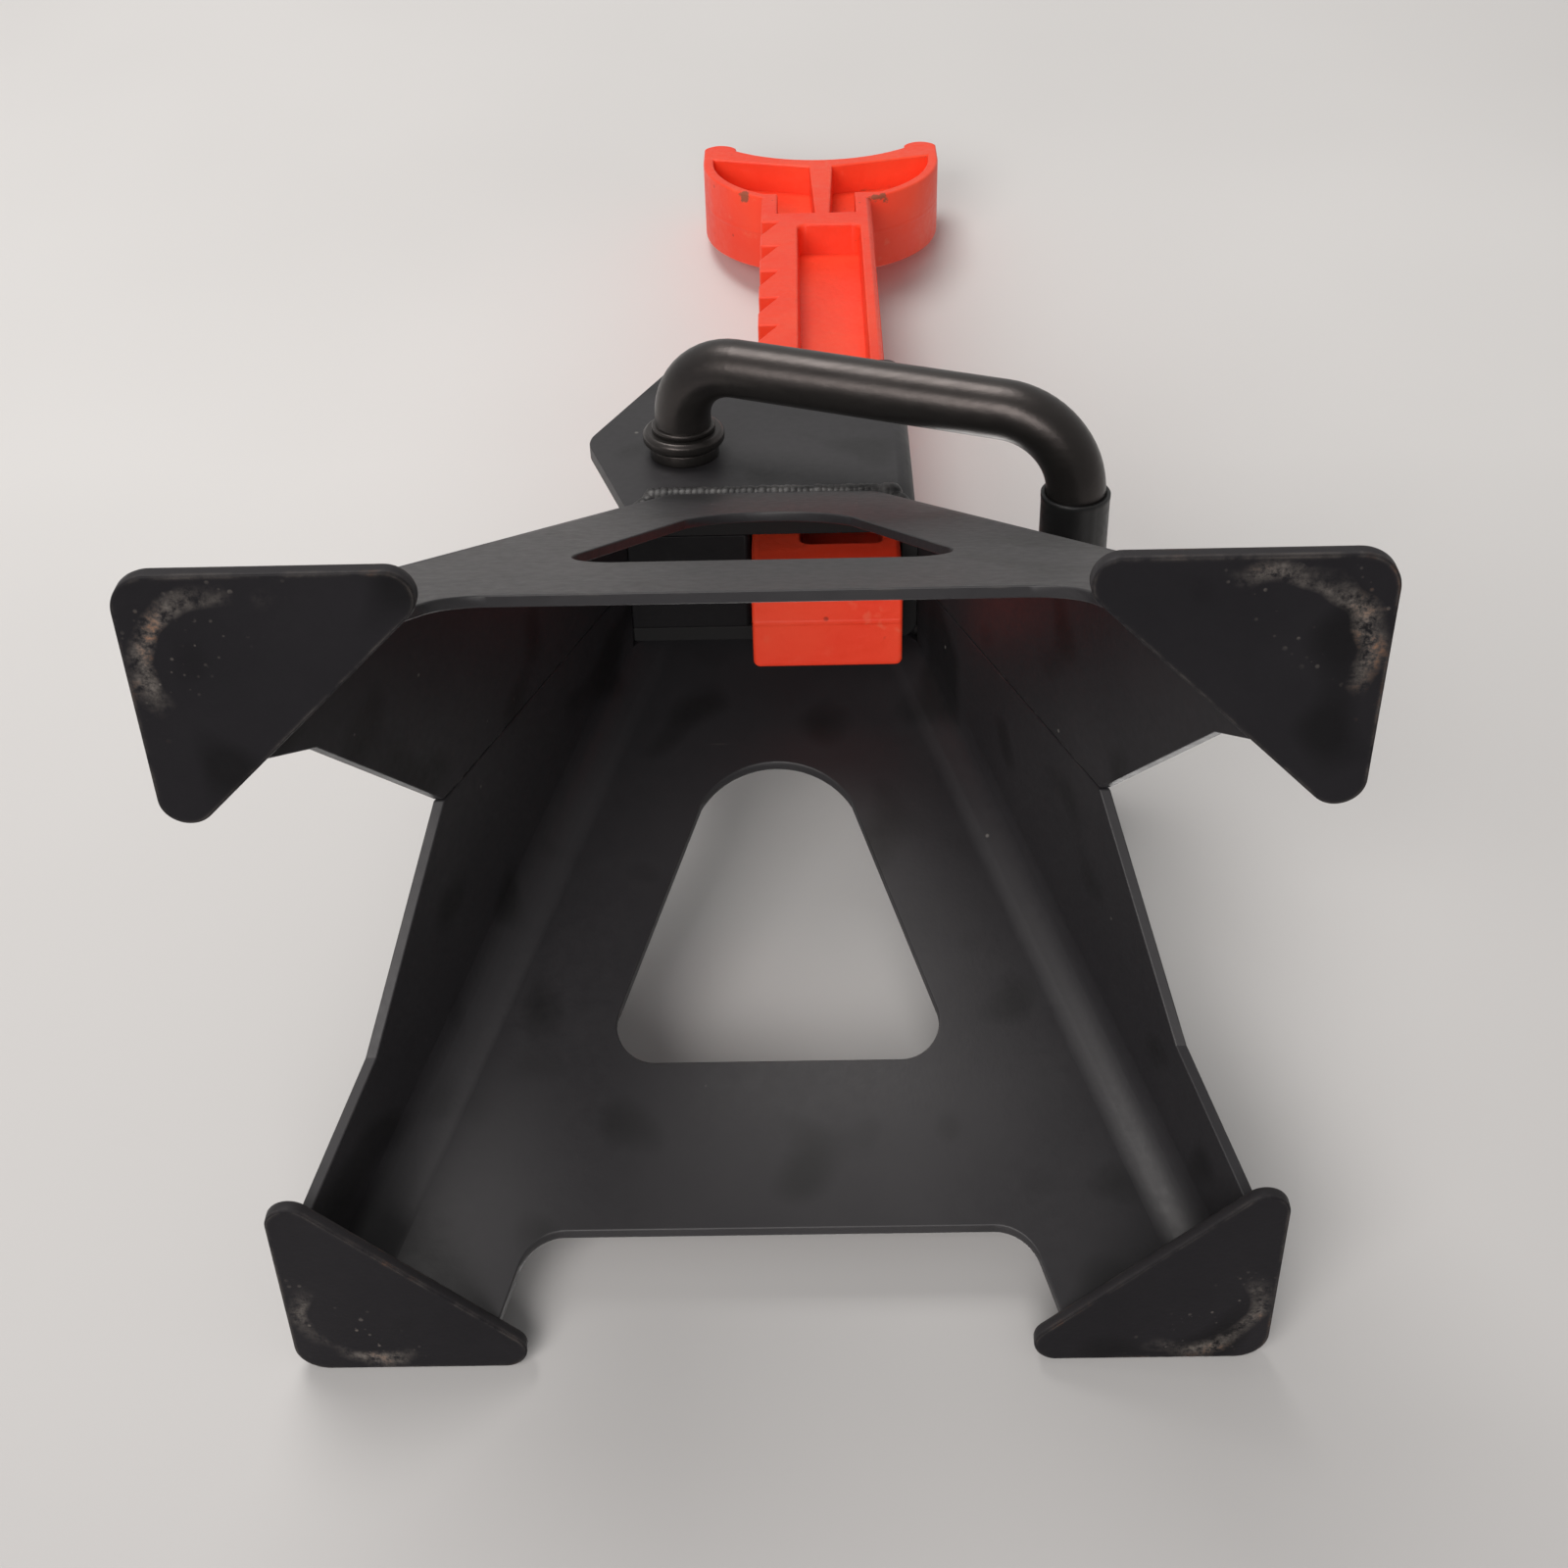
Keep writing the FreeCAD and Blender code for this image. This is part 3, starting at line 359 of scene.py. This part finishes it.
def scuffed_shaded_pad_coat(corner):
    """The same coat, painted darker underneath as painted shade, and worn and dusty underneath where each pad
    bears on the floor: along an arc about a point set in from its outer corner, and at its edges, where a
    pale line is partly dust and partly painted highlight."""
    material, tree, shader, place = start_material("scuffed shaded pad coat", Specular_IOR_Level=0.1)
    colour = coat_colour(tree, place, PAD_SHADE_DARK, PAD_SHADE_PALE)
    rough = coat_roughness(tree, place)
    folded = vector_maths(tree, "ABSOLUTE", "Vector", place)
    inset = vector_maths(tree, "SUBTRACT", "Vector", folded, Vector(corner) - WEAR_INSET)
    wander = mottle(tree, place, scale=70, detail=2, low=0.3, high=0.7, start=-WEAR_WANDER, end=WEAR_WANDER)
    away = maths(tree, "ADD", vector_maths(tree, "LENGTH", "Value", inset), wander)
    outward = vector_maths(tree, "DOT_PRODUCT", "Value", inset, WEAR_DIRECTION)
    ring = times(tree, spread(tree, away, WEAR_RADIUS - 1.9 * MM, WEAR_RADIUS - 0.3 * MM),
                 spread(tree, away, WEAR_RADIUS + 3.4 * MM, WEAR_RADIUS + 0.5 * MM))
    ring = times(tree, ring, spread(tree, outward, 3 * MM, 9 * MM))
    scuff = mottle(tree, place, scale=420, detail=6, low=0.40, high=0.66, roughness=0.75)
    patch = mottle(tree, place, scale=55, detail=2, low=0.36, high=0.58)
    worn = times(tree, times(tree, ring, scuff), patch)
    fleck = times(tree, specks(tree, place, scale=560, size=0.36),
                  spread(tree, away, WEAR_RADIUS + 8 * MM, WEAR_RADIUS))
    fleck = times(tree, fleck, spread(tree, outward, -1 * MM, 6 * MM))
    fleck = times(tree, fleck, mottle(tree, place, scale=190, detail=3, low=0.44, high=0.58))
    # Pale line at the pads' edges, sides included: partly dust, partly painted highlight
    rim_dust_and_highlight = times(tree, sharp_edges(tree, 1.6 * MM, low=0.02, high=0.16),
                mottle(tree, place, scale=110, detail=5, low=0.42, high=0.62, roughness=0.7))
    # Painted shade: undersides take the darker pad colours, tops the plain PAD_TOP colour
    facing = node(tree, "ShaderNodeTexCoord").outputs["Normal"]
    under = spread(tree, along_axis(tree, facing, "Z"), -0.3, -0.8)
    colour = tint(tree, under, PAD_TOP, colour)
    dust = times(tree, larger(tree, worn, times(tree, fleck, 0.5)), under)
    dust = larger(tree, dust, times(tree, rim_dust_and_highlight, 0.75))
    rusty = times(tree, mottle(tree, place, scale=55, detail=2, low=0.56, high=0.64),
                  spread(tree, scuff, 0.3, 0.8))
    earth = tint(tree, rusty, PAD_EARTH, PAD_RUST)
    colour = stain(tree, colour, earth, dust, strength=0.7)
    connect(tree, shader, colour, larger(tree, rough, times(tree, dust, 0.9)))
    bump(tree, shader, (noise(tree, place, scale=900, detail=2), 0.05 * MM), (worn, 0.04 * MM))
    return material


def dull_shaded_guide_coat():
    """Dull black coat on the plates inside the housing, darker than the rest as painted shade."""
    material, tree, shader, place = start_material("dull shaded guide coat", Specular_IOR_Level=0.18)
    cloud = mottle(tree, place, scale=45, detail=4, low=0.35, high=0.7)
    rough = mottle(tree, place, scale=300, detail=3, low=0.3, high=0.7, start=0.48, end=0.66)
    # Painted shade: these plates take darker colours than the black coat
    connect(tree, shader, tint(tree, cloud, GUIDE_SHADE_DARK, GUIDE_SHADE_PALE), rough)
    bump(tree, shader, (noise(tree, place, scale=700, detail=3), 0.06 * MM))
    return material


def coated_weld():
    """Black coat over a bead, with grey streaks along it as painted highlight."""
    material, tree, shader, place = start_material("coated weld", Specular_IOR_Level=0.42)
    streak = noise(tree, stretched(tree, place, (140, 420, 420)), scale=1.0, detail=4)
    # Painted highlight: grey streaks along the bead
    colour = tint(tree, spread(tree, streak, 0.46, 0.66), WELD_DARK, WELD_HIGHLIGHT_GREY)
    connect(tree, shader, colour, spread(tree, streak, 0.3, 0.7, start=0.52, end=0.40))
    bump(tree, shader, (noise(tree, place, scale=600, detail=3), 0.05 * MM))
    return material


def orange_casting_paint():
    """Orange-red paint on a casting: grainy skin, a parting line round the rim, rubbed streaks, chipped
    corners, and bare spots where the saddle steps down to the column."""
    material, tree, shader, place = start_material("orange casting paint", Specular_IOR_Level=0.35)
    cloud = mottle(tree, place, scale=30, detail=4, low=0.35, high=0.68)
    colour = tint(tree, cloud, PAINT_DEEP, PAINT_BRIGHT)
    drawn = stretched(tree, place, (260, 260, 24))
    streak = times(tree, mottle(tree, drawn, scale=1.0, detail=3, low=0.60, high=0.70),
                   mottle(tree, place, scale=40, detail=2, low=0.50, high=0.62))
    colour = stain(tree, colour, PAINT_STREAK, streak, strength=0.45)
    soot = times(tree, specks(tree, place, scale=210, size=0.24),
                 mottle(tree, place, scale=90, detail=2, low=0.57, high=0.64))
    colour = stain(tree, colour, PAINT_SOOT, soot, strength=0.7)
    chip = times(tree, sharp_edges(tree, 2.2 * MM, low=0.05, high=0.30),
                 mottle(tree, place, scale=85, detail=6, low=0.60, high=0.66, roughness=0.65))
    ragged = mottle(tree, place, scale=380, detail=5, low=0.3, high=0.7, roughness=0.7,
                    start=-0.6 * CHIP_REACH, end=0.6 * CHIP_REACH)
    for spot in CHIP_SPOTS:
        gap = maths(tree, "ADD", vector_maths(tree, "DISTANCE", "Value", place, spot), ragged)
        chip = larger(tree, chip, spread(tree, gap, CHIP_REACH, 0.75 * CHIP_REACH))
    colour = stain(tree, colour, BARE_CASTING, chip, strength=0.75)
    skin = noise(tree, place, scale=520, detail=3)
    rough = spread(tree, skin, 0.3, 0.7, start=0.36, end=0.50)
    connect(tree, shader, colour, larger(tree, rough, times(tree, chip, 0.75)))
    middle = vector_maths(tree, "ABSOLUTE", "Vector", place)
    parting = spread(tree, along_axis(tree, middle, "Y"), 0.8 * MM, 0.3 * MM)
    swells = noise(tree, place, scale=140, detail=2)
    bump(tree, shader, (swells, 0.35 * MM), (skin, 0.10 * MM), (parting, 0.12 * MM))
    return material


def satin_rod_coat():
    material, tree, shader, place = start_material(
        "satin rod coat", Specular_IOR_Level=0.6, Specular_Tint=ROD_SHEEN)
    drawn = stretched(tree, place, (60, 700, 700))
    rough = mottle(tree, drawn, scale=1.0, detail=3, low=0.3, high=0.7, start=0.30, end=0.39)
    connect(tree, shader, coat_colour(tree, place, ROD_DARK, ROD_PALE), rough)
    grain = noise(tree, place, scale=700, detail=2)
    waves = noise(tree, place, scale=90, detail=2)
    bump(tree, shader, (grain, 0.04 * MM), (waves, 0.08 * MM))
    return material


def dipped_vinyl():
    material, tree, shader, place = start_material("dipped vinyl", Specular_IOR_Level=0.45)
    cloud = mottle(tree, place, scale=60, detail=4, low=0.35, high=0.7)
    rough = mottle(tree, place, scale=500, detail=3, low=0.3, high=0.7, start=0.34, end=0.48)
    connect(tree, shader, tint(tree, cloud, VINYL_DARK, VINYL_PALE), rough)
    bump(tree, shader, (noise(tree, place, scale=240, detail=3), 0.06 * MM))
    return material


def oiled_steel():
    material, tree, shader, place = start_material("oiled steel", Metallic=1.0)
    rolled = noise(tree, stretched(tree, place, (900, 120, 900)), scale=1.0, detail=4)
    colour = tint(tree, spread(tree, rolled, 0.3, 0.7), STEEL_DARK, STEEL_PALE)
    bloom = mottle(tree, place, scale=130, detail=4, low=0.6, high=0.72)
    colour = stain(tree, colour, STEEL_RUST, bloom, strength=0.5)
    connect(tree, shader, colour, spread(tree, rolled, 0.3, 0.7, start=0.30, end=0.46))
    bump(tree, shader, (rolled, 0.03 * MM))
    return material


def pale_floor():
    """A pale floor seen from its upper side only, so that it hides nothing in views from behind."""
    material, tree, shader, place = start_material("pale floor", Roughness=0.6)
    tone = mottle(tree, place, scale=3, detail=3, low=0.3, high=0.7)
    colour = tint(tree, tone, FLOOR_DARK, FLOOR_PALE)
    near = spread(tree, along_axis(tree, place, "Z"), 0.30, -0.05)
    tree.links.new(tint(tree, near, colour, FLOOR_SHADED), shader.inputs["Base Color"])
    clear = node(tree, "ShaderNodeBsdfTransparent").outputs[0]
    behind = node(tree, "ShaderNodeNewGeometry").outputs["Backfacing"]
    sided = node(tree, "ShaderNodeMixShader", {0: behind, 1: shader.outputs[0], 2: clear})
    tree.links.new(sided.outputs[0], tree.nodes["Material Output"].inputs["Surface"])
    return material


def paint(piece, material):
    piece.data.materials.clear()
    piece.data.materials.append(material)


def outer_edge_tree():
    """Geometry nodes that mark the outer edges with a fold sharper than Angle, for a bevel that follows."""
    tree = bpy.data.node_groups.new("outer edges", "GeometryNodeTree")
    face = tree.interface
    face.new_socket("Geometry", in_out="INPUT", socket_type="NodeSocketGeometry")
    face.new_socket("Angle", in_out="INPUT", socket_type="NodeSocketFloat")
    face.new_socket("Geometry", in_out="OUTPUT", socket_type="NodeSocketGeometry")
    given = tree.nodes.new("NodeGroupInput").outputs
    fold = node(tree, "GeometryNodeInputMeshEdgeAngle").outputs["Signed Angle"]
    marked = node(tree, "GeometryNodeStoreNamedAttribute", {
        "Geometry": given["Geometry"], "Name": "bevel_weight_edge",
        "Value": maths(tree, "GREATER_THAN", fold, given["Angle"]),
    }, data_type="FLOAT", domain="EDGE")
    out = tree.nodes.new("NodeGroupOutput")
    tree.links.new(marked.outputs[0], out.inputs[0])
    return tree


def ease_edges(piece, width, tree):
    """Joins the CAD node's loose triangles and rounds its sharp outer edges, as live modifiers."""
    joined = piece.modifiers.new("joined", "WELD")
    joined.merge_threshold = JOIN_GAP
    flat = piece.modifiers.new("flat faces", "DECIMATE")
    flat.decimate_type = "DISSOLVE"
    flat.angle_limit = FLAT_FOLD
    chosen = piece.modifiers.new("outer edges", "NODES")
    chosen.node_group = tree
    angle = next(item for item in tree.interface.items_tree if item.name == "Angle")
    chosen[angle.identifier] = SHARP_FOLD
    eased = piece.modifiers.new("eased edges", "BEVEL")
    eased.width = width
    eased.segments = 2
    eased.limit_method = "WEIGHT"
    eased.use_clamp_overlap = False
    eased.loop_slide = False
    eased.harden_normals = True


def add_piece(name, mesh, material, body):
    """A finished mesh as a piece of its body."""
    piece = bpy.data.objects.new(name, mesh)
    bpy.context.scene.collection.objects.link(piece)
    paint(piece, material)
    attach(piece, body)
    return piece


def quarter_turn(steps):
    return [math.pi / 2 * i / steps for i in range(steps + 1)]


def turned_mesh(name, profile, centre, ridges=(), ridge_height=0.0):
    """A closed ring or capped solid turned about an axis along Y; the profile is (radius, y) pairs.
    Ridges are the angles, in whole degrees, of lines along it that stand proud."""
    work = bmesh.new()
    rings = []
    for radius, y in profile:
        if radius == 0:
            rings.append([work.verts.new((centre.x, y, centre.z))])
            continue
        ring = []
        for i in range(TURN_STEPS):
            turn = 360 * i / TURN_STEPS
            reach = radius + (ridge_height if turn in ridges else 0)
            x = centre.x + reach * math.cos(math.radians(turn))
            z = centre.z + reach * math.sin(math.radians(turn))
            ring.append(work.verts.new((x, y, z)))
        rings.append(ring)
    for near, far in zip(rings, rings[1:]):
        for i in range(TURN_STEPS):
            j = (i + 1) % TURN_STEPS
            if len(near) == 1:
                work.faces.new((near[0], far[i], far[j]))
            elif len(far) == 1:
                work.faces.new((near[i], far[0], near[j]))
            else:
                work.faces.new((near[i], far[i], far[j], near[j]))
    bmesh.ops.recalc_face_normals(work, faces=work.faces)
    mesh = bpy.data.meshes.new(name)
    work.to_mesh(mesh)
    work.free()
    mesh.shade_smooth()
    return mesh


def ripple_tree():
    """Geometry nodes for one straight bead: overlapping tilted ripples from Start to End."""
    tree = bpy.data.node_groups.new("weld ripples", "GeometryNodeTree")
    face = tree.interface
    for name, kind in (
        ("Start", "Vector"), ("End", "Vector"), ("Outward", "Vector"), ("Pitch", "Float"),
        ("Width", "Float"), ("Height", "Float"), ("Seed", "Int"), ("Material", "Material"),
    ):
        face.new_socket(name, in_out="INPUT", socket_type="NodeSocket" + kind)
    face.new_socket("Geometry", in_out="OUTPUT", socket_type="NodeSocketGeometry")
    given = tree.nodes.new("NodeGroupInput").outputs
    line = node(tree, "GeometryNodeCurvePrimitiveLine", {"Start": given["Start"], "End": given["End"]})
    beads = node(tree, "GeometryNodeCurveToPoints",
                 {"Curve": line.outputs[0], "Length": given["Pitch"]}, mode="LENGTH")
    along = node(tree, "FunctionNodeAlignRotationToVector", {"Vector": beads.outputs["Tangent"]}, axis="X")
    upright = node(tree, "FunctionNodeAlignRotationToVector",
                   {"Rotation": along.outputs[0], "Vector": given["Outward"]}, axis="Z", pivot_axis="X")
    lean = node(tree, "FunctionNodeRotateRotation",
                {"Rotation": upright.outputs[0], "Rotate By": (0.0, RIPPLE_LEAN, 0.0)},
                rotation_space="LOCAL")
    size = node(tree, "ShaderNodeCombineXYZ", {
        "X": times(tree, given["Pitch"], RIPPLE_OVERLAP), "Y": times(tree, given["Width"], 0.5),
        "Z": given["Height"],
    })
    vary = node(tree, "FunctionNodeRandomValue",
                {2: RIPPLE_SMALLEST, 3: RIPPLE_LARGEST, "Seed": given["Seed"]})
    varied = node(tree, "ShaderNodeVectorMath",
                  {0: size.outputs[0], "Scale": vary.outputs[1]}, operation="SCALE")
    ripple = node(tree, "GeometryNodeMeshUVSphere",
                  {"Segments": RIPPLE_SEGMENTS, "Rings": RIPPLE_RINGS, "Radius": 1.0})
    placed = node(tree, "GeometryNodeInstanceOnPoints", {
        "Points": beads.outputs["Points"], "Instance": ripple.outputs["Mesh"],
        "Rotation": lean.outputs[0], "Scale": varied.outputs[0],
    })
    real = node(tree, "GeometryNodeRealizeInstances", {"Geometry": placed.outputs[0]})
    smooth = node(tree, "GeometryNodeSetShadeSmooth", {"Geometry": real.outputs[0]})
    coated = node(tree, "GeometryNodeSetMaterial",
                  {"Geometry": smooth.outputs[0], "Material": given["Material"]})
    out = tree.nodes.new("NodeGroupOutput")
    tree.links.new(coated.outputs[0], out.inputs[0])
    return tree


def rippled_run(tree, settings):
    """The plain mesh that the tree gives for these settings."""
    carrier = bpy.data.objects.new("bead run", bpy.data.meshes.new("bead run"))
    bpy.context.scene.collection.objects.link(carrier)
    modifier = carrier.modifiers.new("ripples", "NODES")
    modifier.node_group = tree
    for item in tree.interface.items_tree:
        if item.in_out == "INPUT":
            modifier[item.identifier] = settings[item.name]
    made = carrier.evaluated_get(bpy.context.evaluated_depsgraph_get())
    mesh = bpy.data.meshes.new_from_object(made)
    bpy.data.objects.remove(carrier)
    return mesh


def seam_runs():
    """Start, end, outward side, width and height of the bead along each side seam."""
    runs = []
    for name, side in (("left_seam_weld", -1), ("right_seam_weld", 1)):
        low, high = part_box(name)
        far = max(abs(low.x), abs(high.x))
        near = min(abs(low.x), abs(high.x))
        start = Vector((side * (far - SEAM_BEAD_HEIGHT), 0, low.z))
        end = Vector((side * near, 0, high.z))
        outward = Vector((side * (end.z - start.z), 0, abs(end.x - start.x))).normalized()
        runs.append((start, end, outward, high.y - low.y, SEAM_BEAD_SWELL * SEAM_BEAD_HEIGHT))
    return runs


def housing_runs():
    """The same for the beads between the panels' top edges and the housing, and their ends, which run
    down the sloped corners of the shells."""
    runs = []
    housing_low, housing_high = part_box("ratchet_housing")
    for name, side in (("front_housing_weld", -1), ("rear_housing_weld", 1)):
        low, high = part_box(name)
        tall = high.z - low.z
        y = side * (min(abs(low.y), abs(high.y)) + TOP_BEAD_IN * (high.y - low.y))
        z = low.z + TOP_BEAD_UP * tall
        outward = Vector((0, side, 1)).normalized()
        runs.append((Vector((low.x, y, z)), Vector((high.x, y, z)), outward,
                     TOP_BEAD_WIDTH * tall, TOP_BEAD_HEIGHT * tall))
        for x in (low.x, high.x):
            turn = 1 if x > 0 else -1
            end = Vector((turn * (housing_high.x + CORNER_BEAD_OUT), side * (housing_high.y - CORNER_BEAD_IN),
                          housing_low.z + CORNER_BEAD_RISE))
            lean = Vector((turn, side, CORNER_BEAD_TILT)).normalized()
            runs.append((Vector((x, y, z)), end, lean, CORNER_BEAD_WIDTH, CORNER_BEAD_HEIGHT))
    return runs


def foot_runs():
    """The same for the short beads where the legs stand on the pads."""
    low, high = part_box("foot_welds")
    points = [v.co for v in nodes["foot_welds"].data.vertices]
    flank_edge = high.x - FOOT_FLANK_REACH
    runs = []
    for side_x in (-1, 1):
        for side_y in (-1, 1):
            here = [p for p in points if p.x * side_x > 0 and p.y * side_y > 0]
            flank = [p.y for p in here if abs(p.x) > flank_edge]
            panel = [p.x for p in here if abs(p.x) <= flank_edge]
            x = side_x * (high.x - FOOT_BEAD_LEG)
            y = side_y * (high.y - FOOT_BEAD_LEG)
            runs.append((Vector((x, min(flank), low.z)), Vector((x, max(flank), low.z)),
                         Vector((side_x, 0, 1)).normalized(), FOOT_BEAD_WIDTH, FOOT_BEAD_HEIGHT))
            runs.append((Vector((min(panel), y, low.z)), Vector((max(panel), y, low.z)),
                         Vector((0, side_y, 1)).normalized(), FOOT_BEAD_WIDTH, FOOT_BEAD_HEIGHT))
    return runs


def weld_ripples(material, welds):
    """Every weld as a row of ripples, joined to one mesh that stands for the plain CAD beads."""
    tree = ripple_tree()
    work = bmesh.new()
    runs = seam_runs() + housing_runs() + foot_runs()
    for seed, (start, end, outward, width, height) in enumerate(runs):
        run = rippled_run(tree, {
            "Start": start, "End": end, "Outward": outward, "Pitch": RIPPLE_PITCH,
            "Width": width, "Height": height, "Seed": seed, "Material": material,
        })
        work.from_mesh(run)
    mesh = bpy.data.meshes.new("weld_ripples")
    work.to_mesh(mesh)
    work.free()
    mesh.shade_smooth()
    ripples = add_piece("weld_ripples", mesh, material, "base")
    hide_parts(*welds)


def grip_sleeve(material):
    """The dipped sleeve: a rolled lip at its mouth, a rounded closed end and two mould lines."""
    low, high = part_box("handle_grip")
    centre = (low + high) / 2
    radius = (high.x - low.x) / 2
    bore = radius - GRIP_WALL
    lip = radius + GRIP_LIP_PROUD
    lip_end = low.y + GRIP_LIP_LENGTH
    mouth = [(bore, lip_end), (bore, low.y)]
    roll = [(lip - GRIP_LIP_ROUND, low.y), (lip, low.y + GRIP_LIP_ROUND), (lip, lip_end - GRIP_LIP_TAPER),
            (radius - GRIP_LIP_UNDERCUT, lip_end)]
    dome = [(radius - GRIP_END_ROUND * (1 - math.cos(a)), high.y - GRIP_END_ROUND * (1 - math.sin(a)))
            for a in quarter_turn(GRIP_END_STEPS)]
    mesh = turned_mesh("grip_sleeve", mouth + roll + dome + [(0, high.y)], centre,
                       MOULD_LINE_ANGLES, MOULD_LINE_HEIGHT)
    sleeve = add_piece("grip_sleeve", mesh, material, "handle")
    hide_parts("handle_grip")


def ledge_ring(material):
    """The thin step on the rod in front of the washer."""
    low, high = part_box("front_washer")
    centre = (low + high) / 2
    inner = ROD_RADIUS - LEDGE_SINK
    outer = ROD_RADIUS + LEDGE_PROUD
    front = low.y - LEDGE_THICKNESS
    back = low.y + LEDGE_LAP
    edge = [(outer - LEDGE_ROUND * (1 - math.sin(a)), front + LEDGE_ROUND * (1 - math.cos(a)))
            for a in quarter_turn(LEDGE_ROUND_STEPS)]
    profile = [(inner, front)] + edge + [(outer, back), (inner, back), (inner, front)]
    add_piece("ledge_ring", turned_mesh("ledge_ring", profile, centre), material, "handle")


def lay_floor():
    """The floor of the photo: a plane under the stand as it lies on its back, touching base and saddle."""
    mesh = bpy.data.meshes.new("floor")
    foot = Vector((0, cad_box[1][1] + FLOOR_GAP, 0))
    across = Vector((1, 0, 0)) * FLOOR_HALF_WIDTH
    along = Vector((0, -FLOOR_SLOPE, 1))
    near = foot + along * FLOOR_NEAR
    far = foot + along * FLOOR_FAR
    mesh.from_pydata([near - across, near + across, far + across, far - across], [], [(0, 1, 2, 3)])
    floor = bpy.data.objects.new("floor", mesh)
    bpy.context.scene.collection.objects.link(floor)
    paint(floor, pale_floor())
    return floor


def add_lamp(name, place, aim, size, power, colour):
    lamp = bpy.data.lights.new(name, "AREA")
    lamp.shape = "DISK"
    lamp.size = size
    lamp.energy = power
    lamp.color = colour
    stand = bpy.data.objects.new(name, lamp)
    bpy.context.scene.collection.objects.link(stand)
    stand.location = place
    stand.rotation_euler = (Vector(aim) - Vector(place)).to_track_quat("-Z", "Y").to_euler()
    return stand


def light_scene(floor):
    """The soft lamps, of which the one for the stand's back isn't blocked by the floor, in a pale room."""
    for lamp in FRONT_LAMPS:
        add_lamp(*lamp)
    back = add_lamp(*BACK_LAMP)
    unblocked = bpy.data.collections.new("back lamp passes")
    unblocked.objects.link(floor)
    unblocked.collection_objects[0].light_linking.link_state = "EXCLUDE"
    back.light_linking.blocker_collection = unblocked
    world = bpy.data.worlds.new("room")
    bpy.context.scene.world = world
    world.use_nodes = True
    tree = world.node_tree
    path = node(tree, "ShaderNodeLightPath").outputs
    toward = node(tree, "ShaderNodeTexCoord").outputs["Generated"]
    mirrored = spread(tree, along_axis(tree, toward, "Z"), -0.9, 0.6, ROOM_MIRRORED_LOW, ROOM_MIRRORED_HIGH)
    shiny = larger(tree, path["Is Glossy Ray"], path["Is Transmission Ray"])
    ambient = node(tree, "ShaderNodeMix", {"Factor": shiny, "A": ROOM_LIGHT, "B": mirrored}).outputs[0]
    shown = larger(tree, ambient, path["Is Camera Ray"])
    tree.links.new(shown, tree.nodes["Background"].inputs["Strength"])
    tree.nodes["Background"].inputs["Color"].default_value = ROOM_COLOUR


def set_camera():
    view = bpy.data.cameras.new("photo camera")
    view.lens = CAMERA_LENS
    view.sensor_fit = "HORIZONTAL"
    camera = bpy.data.objects.new("photo camera", view)
    bpy.context.scene.collection.objects.link(camera)
    camera.location = CAMERA_PLACE
    turn = (CAMERA_AIM - CAMERA_PLACE).to_track_quat("-Z", "Y").to_euler()
    turn.rotate_axis("Z", CAMERA_ROLL)
    camera.rotation_euler = turn
    bpy.context.scene.camera = camera


def dress_cad_nodes(finishes):
    """Gives each CAD node its finish, and eased edges where it has corners."""
    tree = outer_edge_tree()
    for material, width, names in finishes:
        for name in names:
            paint(nodes[name], material)
            if width:
                ease_edges(nodes[name], width, tree)


coat = black_powder_coat("black powder coat")
housing_coat = black_powder_coat("housing coat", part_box("ratchet_housing")[0].z + PAINTED_SHADE_HEIGHT)
pad_coat = scuffed_shaded_pad_coat((cad_box[1][0], cad_box[1][1], 0))
rod_coat = satin_rod_coat()
weld = coated_weld()
feet = [f"{end}_{side}_foot" for end in ("front", "rear") for side in ("left", "right")]
welds = ["left_seam_weld", "right_seam_weld", "front_housing_weld", "rear_housing_weld", "foot_welds"]
dress_cad_nodes([
    (coat, SHEET_EASE, ["front_shell", "rear_shell"]),
    (housing_coat, SHEET_EASE, ["ratchet_housing"]),
    (dull_shaded_guide_coat(), SHEET_EASE, ["upper_guide_bar", "lower_guide_bar"]),
    (pad_coat, PAD_EASE, feet),
    (weld, None, welds),
    (orange_casting_paint(), CASTING_EASE, ["ratchet_column"]),
    (rod_coat, None, ["handle_rod"]),
    (rod_coat, TURNED_EASE, ["front_bush", "rear_bush", "front_washer", "rear_washer"]),
    (oiled_steel(), SMALL_EASE, ["pawl", "pawl_pin", "retaining_ring"]),
])
weld_ripples(weld, welds)
grip_sleeve(dipped_vinyl())
ledge_ring(rod_coat)
light_scene(lay_floor())
set_camera()
bpy.context.scene.view_settings.view_transform = "Standard"
